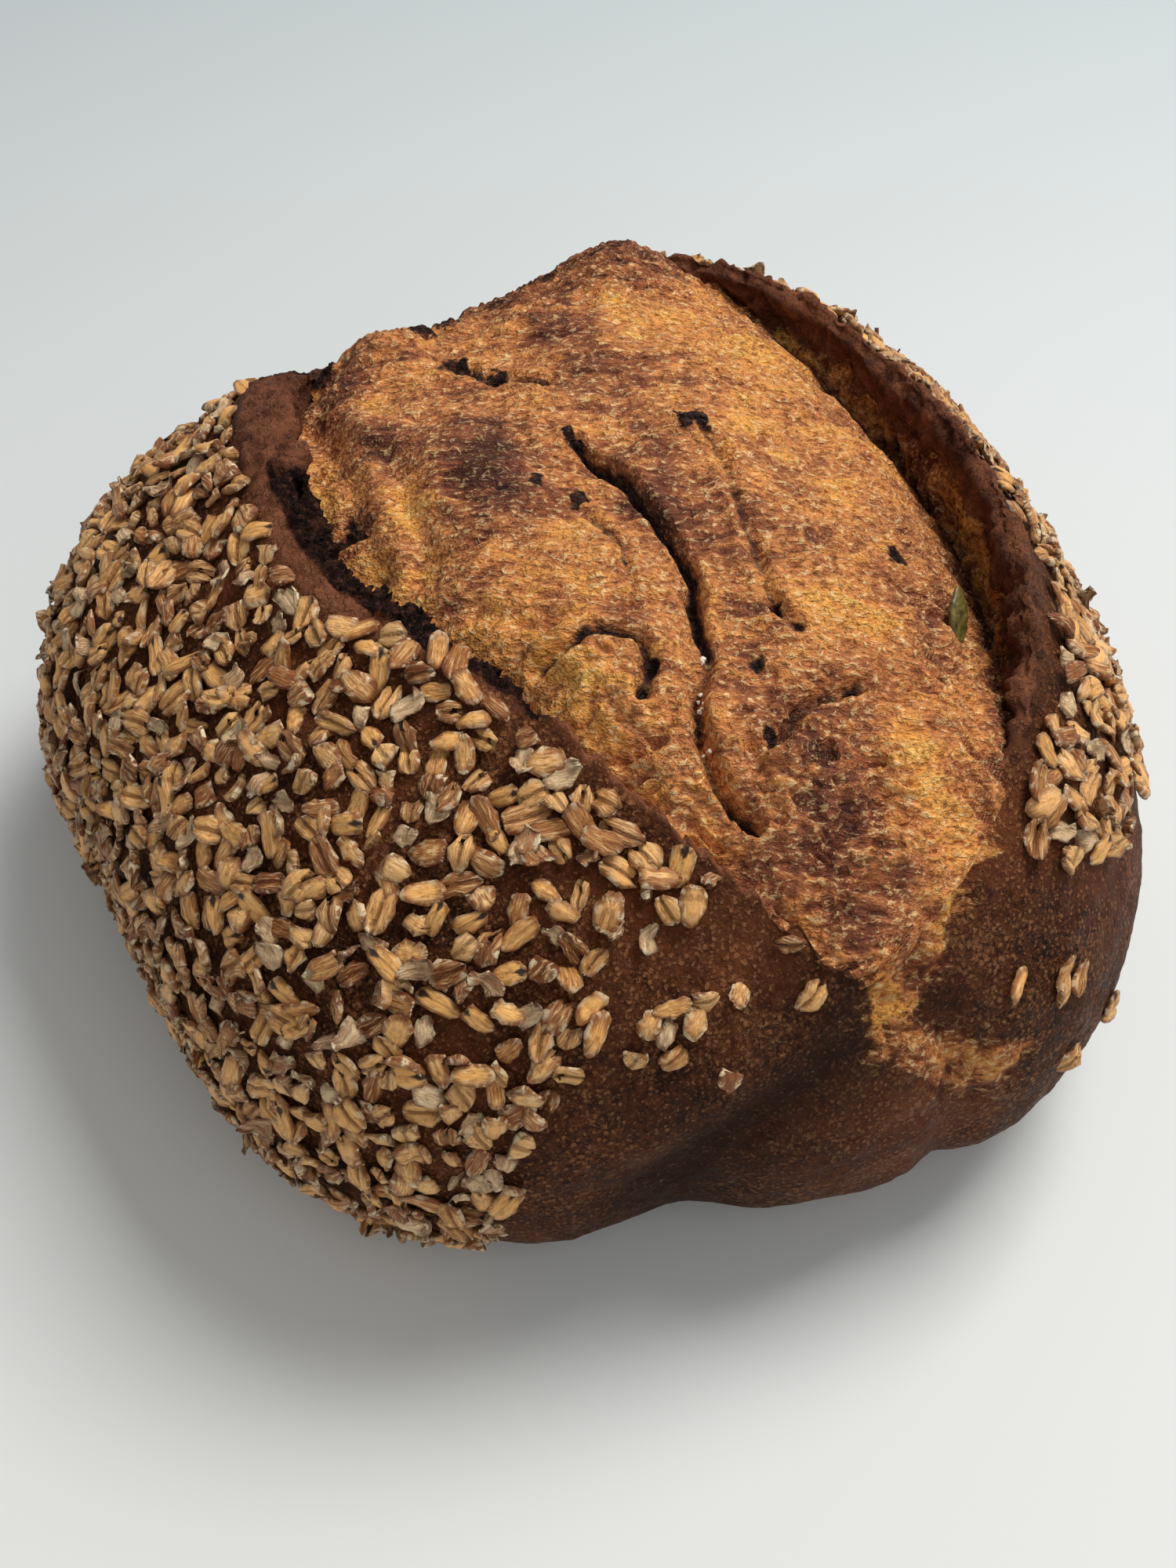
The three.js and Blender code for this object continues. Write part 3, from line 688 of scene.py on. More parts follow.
def smooth_grain():
    lay_grain("smooth", 7.8, 4.1, 1.8)
    pick(lambda place: abs(place.y) < 0.2 and place.z > 0.05)
    bpy.ops.transform.translate(value=(0, 0, -0.2))
    pick(lambda place: place.x > 2.2)
    bpy.ops.transform.resize(value=(1, 1.35, 1), center_override=(2.2, 0, 0))
    return finish_grain()


def split_grain():
    lay_grain("split", 7.6, 4.9, 1.9)
    pick(lambda place: abs(place.y) < 0.2 and place.z > 0.05)
    bpy.ops.transform.translate(value=(0, 0, -0.8))
    for side in (-1, 1):
        pick(lambda place: place.x > 0.6 and place.y * side > 0.2)
        bpy.ops.transform.rotate(value=side * 0.28, orient_axis="Z", center_override=(0, side, 0))
    pick(lambda place: place.x > 2 and abs(place.y) < 0.2)
    bpy.ops.transform.translate(value=(-1.9, 0, -0.1))
    return finish_grain()


def broken_grain():
    lay_grain("broken", 7.6, 5.0, 1.8)
    pick(lambda place: abs(place.y) < 0.2 and place.z > 0.05)
    bpy.ops.transform.translate(value=(0, 0, -0.5))
    bpy.ops.mesh.select_all(action="SELECT")
    bpy.ops.mesh.bisect(plane_co=(0.9, 0, 0), plane_no=(1, 0.25, 0), use_fill=True, clear_outer=True)
    bpy.ops.mesh.select_all(action="SELECT")
    bpy.ops.transform.translate(value=(1.4, 0, 0))
    return finish_grain()


def husk_scrap():
    lay_grain("husk", 6.2, 4.2, 0.9)
    pick(lambda place: place.x > 1.5)
    bpy.ops.transform.translate(value=(0, 0.5, 0.9))
    pick(lambda place: place.x < -1.5)
    bpy.ops.transform.translate(value=(0, -0.3, 0.6))
    pick(lambda place: abs(place.y) > 1.2)
    bpy.ops.transform.translate(value=(0, 0, 0.5))
    return finish_grain()


KINDS = {
    "furrowed_oats": dict(grain=furrowed_grain(), share=0.31, bend=0.050, fray=0.55, tilt=0.24),
    "smooth_oats": dict(grain=smooth_grain(), share=0.24, bend=0.045, fray=0.38, tilt=0.24),
    "split_oats": dict(grain=split_grain(), share=0.16, bend=0.060, fray=0.55, tilt=0.28),
    "broken_oats": dict(grain=broken_grain(), share=0.16, bend=0.050, fray=0.55, tilt=0.34),
    "husk_scraps": dict(grain=husk_scrap(), share=0.13, bend=0.070, fray=0.80, tilt=0.42),
}

# %% [markdown]
# ## Where the oats lie
#
# The oats cover both flanks and the far end, up to the bare lips. The first ones lie where the solid has
# its flakes, drawn by the same small generator, and a few lie alone on the bare front. More are then
# thrown at random over the covered ground and kept where there is room, which fills the gaps evenly, as
# rolling a wet loaf in oats does.

# %% The ground that the oats cover
# Borders are rows of (latitude, angle) in degrees: first the solid's own, then the ones that show.
LEFT_BORDER = [(-10, -39), (46, -9)]
RIGHT_BORDER = [(8, 49), (34, 25)]
BARE_FROM = [
    (-30, -36), (-10, -34), (4, -30), (16, -29), (22, -27), (28, -23.5), (35, -22), (40, -17), (44, -9),
]
BARE_TO = [
    (-30, 62), (5, 58), (20, 46), (23, 39), (25, 34), (31, 28), (36, 27), (42, 29), (48, 36),
]
# Where the oats begin outside the slash's edge on the left: x, distance.
CLEAR_ON_LEFT = [(-60, 1.5), (-15, 0.8), (12, 0.6), (30, -4), (42, -3), (60, -0.5)]
# Oats that lie alone on the bare front: angle, latitude. The last ones are a clump of husk.
STRAYS = [
    (-2.7, 36), (-1.6, 29), (-11, 20.5), (-15.6, 31), (-12, 31.5), (-9, 31), (-16.5, 28), (-15.9, 25),
    (-19.4, 25.5), (-17.8, 29.5), (-13.5, 29), (17.8, 21), (23, 18.5), (24.5, 15.5), (22.5, 16.5), (24, 1),
    (31.5, 0.5), (33, -4),
    (-31, 10), (-32, 7), (-33, 3), (-34, -1), (-32.5, 0), (-35, 2), (-30.5, 5), (-33, 6),
]
STRAY_SIZES = (0.75, 0.95)
HUSK_CLUMP = 8
LOWEST_FLAKE = -38
FLAKE_SEED = 7
FLAKE_SPACING = 12
FLAKE_TRIES = 2600
MOST_FLAKES = 182
CLEAR_OF_LIP = 5.5
SIZES_ALONE = (0.8, 1)
SIZES_AMONG = (0.86, 1.06)
LONE_FLAKES = [
    (-2, 44), (-1, 36), (-11, 26), (-15, 39), (-12, 39), (-9, 39), (-17, 36), (-16, 32), (-19, 32),
    (18, 27), (23, 22), (24, 3), (32, 1),
]
MASK = 0xFFFFFFFF


def seeded_random(seed):
    """The same small generator that laid the solid's flakes: numbers from 0 to 1."""
    state = seed
    while True:
        state = (state + 0x6D2B79F5) & MASK
        t = ((state ^ state >> 15) * (state | 1)) & MASK
        t ^= (t + ((t ^ t >> 7) * (t | 61) & MASK)) & MASK
        yield ((t ^ t >> 14) & MASK) / 2**32


def is_covered(angle, latitude, clear):
    turn = (math.degrees(angle) + 180) % 360 - 180
    degrees = math.degrees(latitude)
    beside_front = turn < along_profile(LEFT_BORDER, degrees) or turn > along_profile(RIGHT_BORDER, degrees)
    if not beside_front or degrees < LOWEST_FLAKE:
        return False
    point = flank_point(angle, latitude)
    return latitude < 0 or math.hypot(point[0], point[1]) > edge_radius(np.array(angle)) + clear


def solid_flakes():
    """Places of the solid's flakes: (angle, latitude, turn, size)."""
    random = seeded_random(FLAKE_SEED)

    def place(angle, latitude, sizes):
        turn = next(random) * math.pi
        size = sizes[0] + (sizes[1] - sizes[0]) * next(random)
        return angle, latitude, turn, size

    places = [place(math.radians(a), math.radians(b), SIZES_ALONE) for a, b in LONE_FLAKES]
    laid = [flank_point(angle, latitude) for angle, latitude, _, _ in places]
    lowest = math.sin(math.radians(LOWEST_FLAKE))
    for _ in range(FLAKE_TRIES):
        if len(places) == MOST_FLAKES:
            break
        angle = (next(random) * 2 - 1) * math.pi
        latitude = math.asin(lowest + (1 - lowest) * next(random))
        flake = place(angle, latitude, SIZES_AMONG)
        point = flank_point(angle, latitude)
        is_free = np.linalg.norm(np.array(laid) - point, axis=1).min() > FLAKE_SPACING
        if is_free and is_covered(angle, latitude, CLEAR_OF_LIP):
            places.append(flake)
            laid.append(point)
    return places


flake_places = solid_flakes()
print(len(flake_places), "flakes are on the solid")

# %% Throw more oats between them
MOST_OATS = 2700
THROWS = 60000
CLEAR_ON_RIGHT = 1.6
ROOM = (3.0, 4.9)
THROWN_SIZES = (0.74, 1.06)
throw = np.random.default_rng(29)

lowest_sine = math.sin(math.radians(LOWEST_FLAKE - 6))
throw_angle = throw.uniform(-math.pi, math.pi, THROWS)
throw_latitude = np.arcsin(throw.uniform(lowest_sine, 1, THROWS))
throw_point = flank_point(throw_angle, throw_latitude)
throw_room = throw.uniform(*ROOM, THROWS)


def on_covered_ground(angle, latitude):
    """Where the photo shows oats: beside the bare front, and clear of the slash."""
    turn, degrees = np.degrees(angle), np.degrees(latitude)
    beside_front = (turn < along_profile(BARE_FROM, degrees)) | (turn > along_profile(BARE_TO, degrees))
    point = flank_point(angle, latitude)
    edge = edge_radius(angle)
    on_left = edge * np.sin(angle) < SLASH_Y
    clear = np.where(on_left, along_profile(CLEAR_ON_LEFT, edge * np.cos(angle)), CLEAR_ON_RIGHT)
    return beside_front & ((latitude < 0) | (np.hypot(point[:, 0], point[:, 1]) > edge + clear))


flake_row = np.array(flake_places)
flake_kept = on_covered_ground(flake_row[:, 0], flake_row[:, 1])
flake_kept[: len(LONE_FLAKES)] = False
oat_places = [tuple(row) for row in flake_row[flake_kept]]
first_stray = len(oat_places)
for angle, latitude in STRAYS:
    turn = throw.uniform(0, math.pi)
    oat_places.append((math.radians(angle), math.radians(latitude), turn, throw.uniform(*STRAY_SIZES)))
laid_count = len(oat_places)
laid = np.zeros((MOST_OATS, 3))
for row, place in enumerate(oat_places):
    laid[row] = flank_point(place[0], place[1])
nearest_oat = [9.0] * laid_count
for index in np.nonzero(on_covered_ground(throw_angle, throw_latitude))[0]:
    if laid_count == MOST_OATS:
        break
    point = throw_point[index]
    distance = np.linalg.norm(laid[:laid_count] - point, axis=1).min()
    if distance > throw_room[index]:
        laid[laid_count] = point
        laid_count += 1
        turn = throw.uniform(0, math.pi)
        oat_places.append((throw_angle[index], throw_latitude[index], turn, throw.uniform(*THROWN_SIZES)))
        nearest_oat.append(distance)
# An oat that lies close to another rests partly on it.
place_rise = 1.1 * ease(-np.array(nearest_oat), -5.4, -3.4)
husk_clump = np.arange(first_stray + len(STRAYS) - HUSK_CLUMP, first_stray + len(STRAYS))
print(len(oat_places), "oats are laid")

# %% Set each oat down on the crust
PROBE = math.radians(1.5)
RAY_START = 16
OAT_SINK = 0.35
UPSIDE_DOWN_SHARE = 0.35

crust_tree = BVHTree.FromPolygons(
    [point.co for point in crust.data.vertices], [face.vertices for face in crust.data.polygons]
)
place_angle, place_latitude, place_turn, place_size = (np.array(column) for column in zip(*oat_places))
across = flank_point(place_angle + PROBE, place_latitude) - flank_point(place_angle - PROBE, place_latitude)
upward = flank_point(place_angle, place_latitude + PROBE) - flank_point(place_angle, place_latitude - PROBE)
normal = np.cross(across, upward)
normal /= np.linalg.norm(normal, axis=1, keepdims=True)
start_points = (flank_point(place_angle, place_latitude) + normal * RAY_START - BOX_MIDDLE) * MILLIMETRE
ground = np.zeros_like(normal)
ground_normal = normal.copy()
for index, (start, direction) in enumerate(zip(start_points, normal)):
    hit, hit_normal, _, _ = crust_tree.ray_cast(Vector(start), Vector(-direction))
    ground[index] = hit if hit else start - direction * RAY_START * MILLIMETRE
    if hit_normal:
        ground_normal[index] = 0.5 * direction + 0.5 * np.array(hit_normal)
ground /= MILLIMETRE
ground_normal /= np.linalg.norm(ground_normal, axis=1, keepdims=True)
print("oats set down from z", round(float(ground[:, 2].min()), 1), "to", round(float(ground[:, 2].max()), 1))


# %% Copy a grain to its places
def strew(name, grain, rows, bend, fray, tilt, seed, **_):
    """One joined mesh of a grain's copies, each bent, frayed and tilted, with its own grain marks."""
    draw = np.random.default_rng(seed)
    model, faces = grain
    count = len(rows)
    seeds = draw.uniform(0, 1, count)
    stretch = draw.uniform(0.86, 1.12, (count, 1, 3)) * place_size[rows, None, None]
    local = model[None] * stretch
    spot = model[None] + 60 * seeds[:, None, None]
    rim_share = np.clip(np.abs(model[:, 1]) / np.abs(model[:, 1]).max() + np.abs(model[:, 0]) / 9, 0, 1)
    local[..., 0] += fray * 1.2 * rough(spot, 2.0, 2, seed=113)
    local[..., 1] += fray * rim_share * rough(spot, 1.6, 2, seed=127)
    local[..., 2] += fray * 0.7 * rough(spot, 1.9, 2, seed=131)
    upside_down = draw.random(count) < UPSIDE_DOWN_SHARE
    local[upside_down, :, 1:] *= -1
    curl = draw.normal(0, bend, (count, 1))
    local[..., 2] += curl * local[..., 0] ** 2 - curl * 2
    local[..., 2] += draw.normal(0, bend, (count, 1)) * local[..., 0] * local[..., 1] * 0.6
    tipped = ground_normal[rows] + draw.normal(0, tilt, (count, 3))
    tipped /= np.linalg.norm(tipped, axis=1, keepdims=True)
    level = np.cross([0, 0, 1], tipped)
    level /= np.maximum(np.linalg.norm(level, axis=1, keepdims=True), 1e-6)
    turn = place_turn[rows][:, None]
    lengthwise = np.cos(turn) * level + np.sin(turn) * np.cross(tipped, level)
    sideways = np.cross(tipped, lengthwise)
    raise_by = draw.uniform(OAT_SINK, OAT_SINK + 0.5, (count, 1)) + tilt + place_rise[rows, None]
    middle = ground[rows] + tipped * raise_by
    places = middle[:, None] + local[..., :1] * lengthwise[:, None]
    places = places + local[..., 1:2] * sideways[:, None] + local[..., 2:] * tipped[:, None]
    places[..., 2] = np.maximum(places[..., 2], 0.15)
    mesh = bpy.data.meshes.new(name)
    step = len(model)
    all_faces = [tuple(i + step * copy for i in face) for copy in range(count) for face in faces]
    mesh.from_pydata((places.reshape(-1, 3) * MILLIMETRE).tolist(), [], all_faces)
    mesh.polygons.foreach_set("use_smooth", np.ones(len(all_faces), bool))
    piece = bpy.data.objects.new(name, mesh)
    bpy.context.scene.collection.objects.link(piece)
    size = np.abs(model).max(axis=0)
    grain_marks = np.empty((count, step, 3))
    grain_marks[..., 0] = model[:, 0] / size[0]
    grain_marks[..., 1] = model[:, 1] / size[1]
    grain_marks[..., 2] = seeds[:, None]
    # The furrow of an oat that lies upside down is hidden, so its marks start beside the furrow.
    grain_marks[upside_down, :, 1] = 0.35 + 0.65 * np.abs(grain_marks[upside_down, :, 1])
    keep_marks(piece, dict(grain=grain_marks.reshape(-1, 3)))
    print(name, "is", count, "oats and", len(all_faces), "faces")
    return piece


kind_shares = np.array([kind["share"] for kind in KINDS.values()])
kind_of_oat = throw.choice(len(KINDS), size=len(oat_places), p=kind_shares / kind_shares.sum())
# The clump is split oats and husk: the third kind and the last one.
kind_of_oat[husk_clump] = throw.choice([2, 4, 4], size=HUSK_CLUMP)
oat_pieces = {}
for number, (kind_name, kind) in enumerate(KINDS.items()):
    rows_of_kind = np.nonzero(kind_of_oat == number)[0]
    oat_pieces[kind_name] = strew(kind_name, rows=rows_of_kind, seed=200 + number, **kind)

# %% [markdown]
# ## A seed and a few crumbs
#
# A single green pumpkin seed stands in the hollow under the right lip, and small white crumbs of flour
# have stuck in the main crease. The seed is a sphere pressed flat with one pointed end and a raised rim.
# The crumbs are small faceted balls, each with its own size and lumps, as dry flour clumps.

# %% The pumpkin seed
SEED_SIZE = (10.5, 5.4, 2.4)
SEED_PLACE = (47, 50.5)
SEED_TILT = (math.radians(-48), math.radians(40), math.radians(-156.5))

lay_grain("pumpkin_seed", *SEED_SIZE, segments=32, rings=20)
pick(lambda place: place.x > 2.5)
bpy.ops.transform.resize(value=(1, 0.75, 0.8), center_override=(2.5, 0, 0))
pick(lambda place: abs(place.z) > 0.75)
bpy.ops.transform.resize(value=(1, 1, 0.8), center_override=(0, 0, 0))
bpy.ops.object.mode_set(mode="OBJECT")
pumpkin_seed = bpy.context.object
pumpkin_seed.data.name = "pumpkin_seed"
seed_x, seed_y = SEED_PLACE
seed_left = SLASH_Y - float(half_width(np.array(seed_x), LEFT_LIP))
seed_right = SLASH_Y + float(half_width(np.array(seed_x), RIGHT_LIP)) - 2.7
seed_z = float(dough_height(np.array(float(seed_x)), np.array(seed_y), seed_left, seed_right)) + 3.2
bpy.ops.object.mode_set(mode="EDIT")
bpy.ops.mesh.select_all(action="SELECT")
for axis, angle in zip("XYZ", SEED_TILT):
    bpy.ops.transform.rotate(value=angle, orient_axis=axis, center_override=(0, 0, 0))
bpy.ops.transform.resize(value=(MILLIMETRE,) * 3, center_override=(0, 0, 0))
seed_middle = (np.array([seed_x, seed_y, seed_z]) - BOX_MIDDLE) * MILLIMETRE
bpy.ops.transform.translate(value=tuple(seed_middle))
bpy.ops.object.mode_set(mode="OBJECT")
bpy.ops.object.shade_smooth()
print("the seed stands at", np.round(seed_middle, 4))

# %% The flour crumbs
CRUMB_CLUMPS = [(45.5, 0.2), (50, -2), (52.5, -3.2), (59, -4.6)]
CRUMBS = 15
crumb_draw = np.random.default_rng(311)

deselect_all()
bpy.ops.mesh.primitive_ico_sphere_add(subdivisions=2, radius=0.5)
crumb_model = bpy.context.object
crumb_points = np.array([tuple(point.co) for point in crumb_model.data.vertices])
crumb_faces = [tuple(face.vertices) for face in crumb_model.data.polygons]
bpy.data.objects.remove(crumb_model)
dough_tree = BVHTree.FromPolygons(
    [point.co for point in torn_dough.data.vertices], [face.vertices for face in torn_dough.data.polygons]
)
crumb_places = []
all_crumb_faces = []
for crumb in range(CRUMBS):
    spot = np.array(CRUMB_CLUMPS[crumb % len(CRUMB_CLUMPS)]) + crumb_draw.normal(0, 0.45, 2)
    above = (np.array([*spot, CREST_Z + 20]) - BOX_MIDDLE) * MILLIMETRE
    hit, _, _, _ = dough_tree.ray_cast(Vector(above), Vector((0, 0, -1)))
    size = crumb_draw.uniform(0.3, 1.0)
    lumps = 1 + 0.35 * rough(crumb_points + crumb, 0.6, 2, seed=crumb)[:, None]
    points = crumb_points * lumps * size * crumb_draw.uniform(0.7, 1.2, 3) * MILLIMETRE
    all_crumb_faces += [tuple(i + len(crumb_points) * crumb for i in face) for face in crumb_faces]
    crumb_places.append(points + np.array(hit) + np.array([0, 0, 0.2 * size * MILLIMETRE]))
crumb_mesh = bpy.data.meshes.new("flour_crumbs")
crumb_mesh.from_pydata(np.concatenate(crumb_places).tolist(), [], all_crumb_faces)
flour_crumbs = bpy.data.objects.new("flour_crumbs", crumb_mesh)
bpy.context.scene.collection.objects.link(flour_crumbs)
print(CRUMBS, "crumbs in the main crease")

# %% [markdown]
# ## Materials
#
# Colours are given as they look on a screen and turned into the linear numbers that shaders use. Small
# helpers add a node, mix two colours or fade a value, so each material reads as a short recipe.


# %% Shader helpers
def paint(red, green, blue):
    """A screen colour from 0 to 255 as a linear colour."""
    shares = [channel / 255 for channel in (red, green, blue)]
    return (*[s / 12.92 if s <= 0.04045 else ((s + 0.055) / 1.055) ** 2.4 for s in shares], 1)


def put(tree, kind, inputs=None, **settings):
    """Adds a shader node, with its settings, and its inputs as values or as links."""
    node = tree.nodes.new("ShaderNode" + kind)
    for name, value in settings.items():
        setattr(node, name, value)
    for name, value in (inputs or {}).items():
        if isinstance(value, bpy.types.NodeSocket):
            tree.links.new(value, node.inputs[name])
        else:
            node.inputs[name].default_value = value
    return node


def sums(tree, operation, first, second=0.0):
    return put(tree, "Math", {0: first, 1: second}, operation=operation).outputs[0]


def plus(tree, first, second):
    return sums(tree, "ADD", first, second)


def minus(tree, first, second):
    return sums(tree, "SUBTRACT", first, second)


def times(tree, *factors):
    product = factors[0]
    for factor in factors[1:]:
        product = sums(tree, "MULTIPLY", product, factor)
    return product


def fade(tree, value, low, high, start=0.0, end=1.0):
    inputs = {"Value": value, "From Min": low, "From Max": high, "To Min": start, "To Max": end}
    return put(tree, "MapRange", inputs, interpolation_type="SMOOTHSTEP").outputs["Result"]


def stir(tree, share, first, second):
    """Mixes two colours by a share."""
    return put(tree, "Mix", {0: share, 6: first, 7: second}, data_type="RGBA").outputs[2]


def cloud(tree, vector, scale, detail=3.0, roughness=0.55, distortion=0.0):
    inputs = {"Vector": vector, "Scale": scale, "Detail": detail, "Roughness": roughness}
    inputs["Distortion"] = distortion
    return put(tree, "TexNoise", inputs).outputs["Fac"]


def ramp(tree, value, stops):
    """A colour for each value, through stops of (place, colour)."""
    node = put(tree, "ValToRGB", {"Fac": value})
    while len(node.color_ramp.elements) < len(stops):
        node.color_ramp.elements.new(0.5)
    for element, (place, colour) in zip(node.color_ramp.elements, stops):
        element.position = place
        element.color = colour
    return node.outputs["Color"]


def mark(tree, name, output="Fac"):
    return put(tree, "Attribute", attribute_name=name).outputs[output]


def shared_effect(name, sockets_in, sockets_out):
    """A new shader node group with named inputs and outputs, and its two end nodes."""
    group = bpy.data.node_groups.new(name, "ShaderNodeTree")
    for socket, kind, value in sockets_in:
        made = group.interface.new_socket(socket, in_out="INPUT", socket_type="NodeSocket" + kind)
        if value is not None:
            made.default_value = value
    for socket, kind in sockets_out:
        group.interface.new_socket(socket, in_out="OUTPUT", socket_type="NodeSocket" + kind)
    return group, group.nodes.new("NodeGroupInput").outputs, group.nodes.new("NodeGroupOutput").inputs


def use_effect(tree, group, inputs):
    node = put(tree, "Group")
    node.node_tree = group
    for name, value in inputs.items():
        if isinstance(value, bpy.types.NodeSocket):
            tree.links.new(value, node.inputs[name])
        else:
            node.inputs[name].default_value = value
    return node.outputs


def new_material(name, **finish):
    """A material with its node tree, its shader and the loaf's own coordinates."""
    material = bpy.data.materials.new(name)
    material.use_nodes = True
    tree = material.node_tree
    shader = tree.nodes["Principled BSDF"]
    for socket, value in finish.items():
        shader.inputs[socket.replace("_", " ")].default_value = value
    return material, tree, shader, put(tree, "TexCoord").outputs["Object"]


def fibres(tree, where):
    """The torn fibres of a piece, by its own marks."""
    inputs = {"Vector": where, "Bake": mark(tree, "bake_and_shade"), "Ridge Light And Shade": mark(tree, "ridge_light_and_shade")}
    return use_effect(tree, torn_fibre, inputs)


def bump(tree, shader, height, strength, distance):
    inputs = {"Height": height, "Strength": strength, "Distance": distance * MILLIMETRE}
    tree.links.new(put(tree, "Bump", inputs).outputs["Normal"], shader.inputs["Normal"])


print("a crust brown in linear numbers:", np.round(paint(90, 55, 35), 3))

# %% [markdown]
# ### Effects that more than one finish shares
#
# Blisters are the fine pale specks that slow fermenting leaves on a crust: points of a cell pattern,
# shaken out of round, and kept only where a broad cloud lets them. Charring eats into a colour from the
# marked places, with a ragged edge, and the same effect paints black shade into the dough's creases and the
# lip's holes. Torn fibres are short flecks, by how baked a place is, with painted shade under the right lip,
# a painted highlight on raised fibres and their tips, and painted shade on low fibres and in the gaps.
# Straw grain runs along each oat, by the marks that every copy carries: the rim is toasted and darkened
# with painted shade, raised streaks get painted cream highlights, the frayed tips stay cream, and the furrow
# is a brown line.

# %% Shared effects
blisters, take, give = shared_effect(
    "blisters", [("Vector", "Vector", None), ("Scale", "Float", 700.0), ("Amount", "Float", 0.5)],
    [("Mask", "Float"), ("Height", "Float")],
)
tree = blisters
SHAKE = 0.9 * MILLIMETRE
jitter = put(tree, "TexNoise", {"Vector": take["Vector"], "Scale": 1700.0, "Detail": 2.0}).outputs["Color"]
jitter = put(tree, "VectorMath", {0: jitter, 1: (SHAKE, SHAKE, SHAKE)}, operation="MULTIPLY").outputs[0]
shaken = put(tree, "VectorMath", {0: take["Vector"], 1: jitter}, operation="ADD").outputs[0]
cells = put(tree, "TexVoronoi", {"Vector": shaken, "Scale": take["Scale"]})
patchy = cloud(tree, take["Vector"], 90.0, 4.0)
reach = times(tree, patchy, take["Amount"], 0.62)
dot = minus(tree, reach, cells.outputs["Distance"])
dot = fade(tree, dot, -0.04, 0.12)
grit = cloud(tree, take["Vector"], 1500.0, 2.0)
tree.links.new(times(tree, dot, fade(tree, grit, 0.3, 0.6)), give["Mask"])
tree.links.new(plus(tree, dot, times(tree, grit, 0.5)), give["Height"])

charring_and_shade, take, give = shared_effect(
    "charring_and_shade", [("Vector", "Vector", None), ("Color", "Color", (0, 0, 0, 1)), ("Burn And Shade", "Float", 0.0)],
    [("Color", "Color"), ("Mask", "Float")],
)
tree = charring_and_shade
flicker = minus(tree, cloud(tree, take["Vector"], 520.0, 5.0, 0.65), 0.5)
burnt_and_shaded = fade(tree, plus(tree, take["Burn And Shade"], times(tree, flicker, 0.9)), 0.3, 0.75)
burnt_and_shaded = times(tree, burnt_and_shaded, fade(tree, take["Burn And Shade"], 0.02, 0.2))
# The soot colour also serves as painted black shade in the dough's creases and the lip's holes.
soot_and_shade = ramp(tree, cloud(tree, take["Vector"], 700.0, 5.0, 0.7),
            [(0.36, paint(12, 7, 6)), (0.52, paint(40, 22, 18)), (0.66, paint(98, 60, 46))])
soot_and_shade = stir(tree, fade(tree, take["Burn And Shade"], 0.45, 0.85, 1.0, 0.0), soot_and_shade, paint(70, 36, 28))
tree.links.new(stir(tree, burnt_and_shaded, take["Color"], soot_and_shade), give["Color"])
tree.links.new(burnt_and_shaded, give["Mask"])

torn_fibre, take, give = shared_effect(
    "torn fibre", [("Vector", "Vector", None), ("Bake", "Float", 0.5), ("Ridge Light And Shade", "Float", 0.5)],
    [("Color", "Color"), ("Height", "Float")],
)
tree = torn_fibre
turned = put(tree, "Mapping", {"Vector": take["Vector"], "Rotation": (0, 0, -FIBRE_TURN)}).outputs[0]
fleck_place = put(tree, "Mapping", {"Vector": turned, "Scale": (640.0, 1050.0, 900.0)})
fleck = cloud(tree, fleck_place.outputs[0], 1.0, 3.0, 0.55, 0.5)
streak_place = put(tree, "Mapping", {"Vector": turned, "Scale": (95.0, 430.0, 300.0)})
long_streak = cloud(tree, streak_place.outputs[0], 1.0, 4.0, 0.6, 1.4)
wander = cloud(tree, take["Vector"], 160.0, 4.0, 0.6)
# The tone follows the bake mark, which also holds painted shade under the right lip. Long streaks and broad
# patches shift it, and raised fibres shift it as a painted highlight and low ones as painted shade.
tone = take["Bake"]
for value, weight in ((long_streak, 0.75), (wander, 0.7), (take["Ridge Light And Shade"], 0.35)):
    beyond = minus(tree, value, 0.5)
    tone = minus(tree, tone, times(tree, beyond, weight))
baked = ramp(tree, tone, [
    (0.0, paint(255, 200, 106)), (0.25, paint(246, 170, 82)), (0.48, paint(222, 143, 82)),
    (0.68, paint(168, 100, 62)), (0.84, paint(122, 68, 48)), (1.0, paint(76, 40, 30)),
])
# Painted shade darkens the gaps between the flecks, and a painted highlight lightens their tips.
gap_shade = times(tree, fade(tree, fleck, 0.47, 0.36), 0.56)
baked = stir(tree, gap_shade, baked, paint(104, 52, 30))
tip_highlight = times(tree, fade(tree, fleck, 0.54, 0.64), fade(tree, tone, 0.55, 1.0, 0.72, 0.35))
baked = stir(tree, tip_highlight, baked, paint(255, 214, 152))
tree.links.new(baked, give["Color"])
height = plus(tree, fleck, times(tree, long_streak, 0.8))
tree.links.new(height, give["Height"])

straw_grain, take, give = shared_effect(
    "straw grain",
    [("Grain", "Vector", None), ("Dark", "Color", (0, 0, 0, 1)), ("Light", "Color", (1, 1, 1, 1)),
     ("Furrow", "Float", 1.0), ("Germ", "Float", 0.0), ("Bran", "Float", 0.5)],
    [("Color", "Color"), ("Height", "Float")],
)
tree = straw_grain
parts = put(tree, "SeparateXYZ", {0: take["Grain"]})
own = parts.outputs["Z"]
aside = put(tree, "Math", {0: parts.outputs["Y"]}, operation="ABSOLUTE").outputs[0]
lengthwise = put(tree, "Math", {0: parts.outputs["X"]}, operation="ABSOLUTE").outputs[0]
far_seed = times(tree, own, 57.0)
along = times(tree, parts.outputs["X"], 1.3)
across = times(tree, parts.outputs["Y"], 6.5)
streak_place = put(tree, "CombineXYZ", {0: along, 1: across, 2: far_seed})
streak = cloud(tree, streak_place.outputs[0], 1.0, 4.0, 0.65, 0.4)
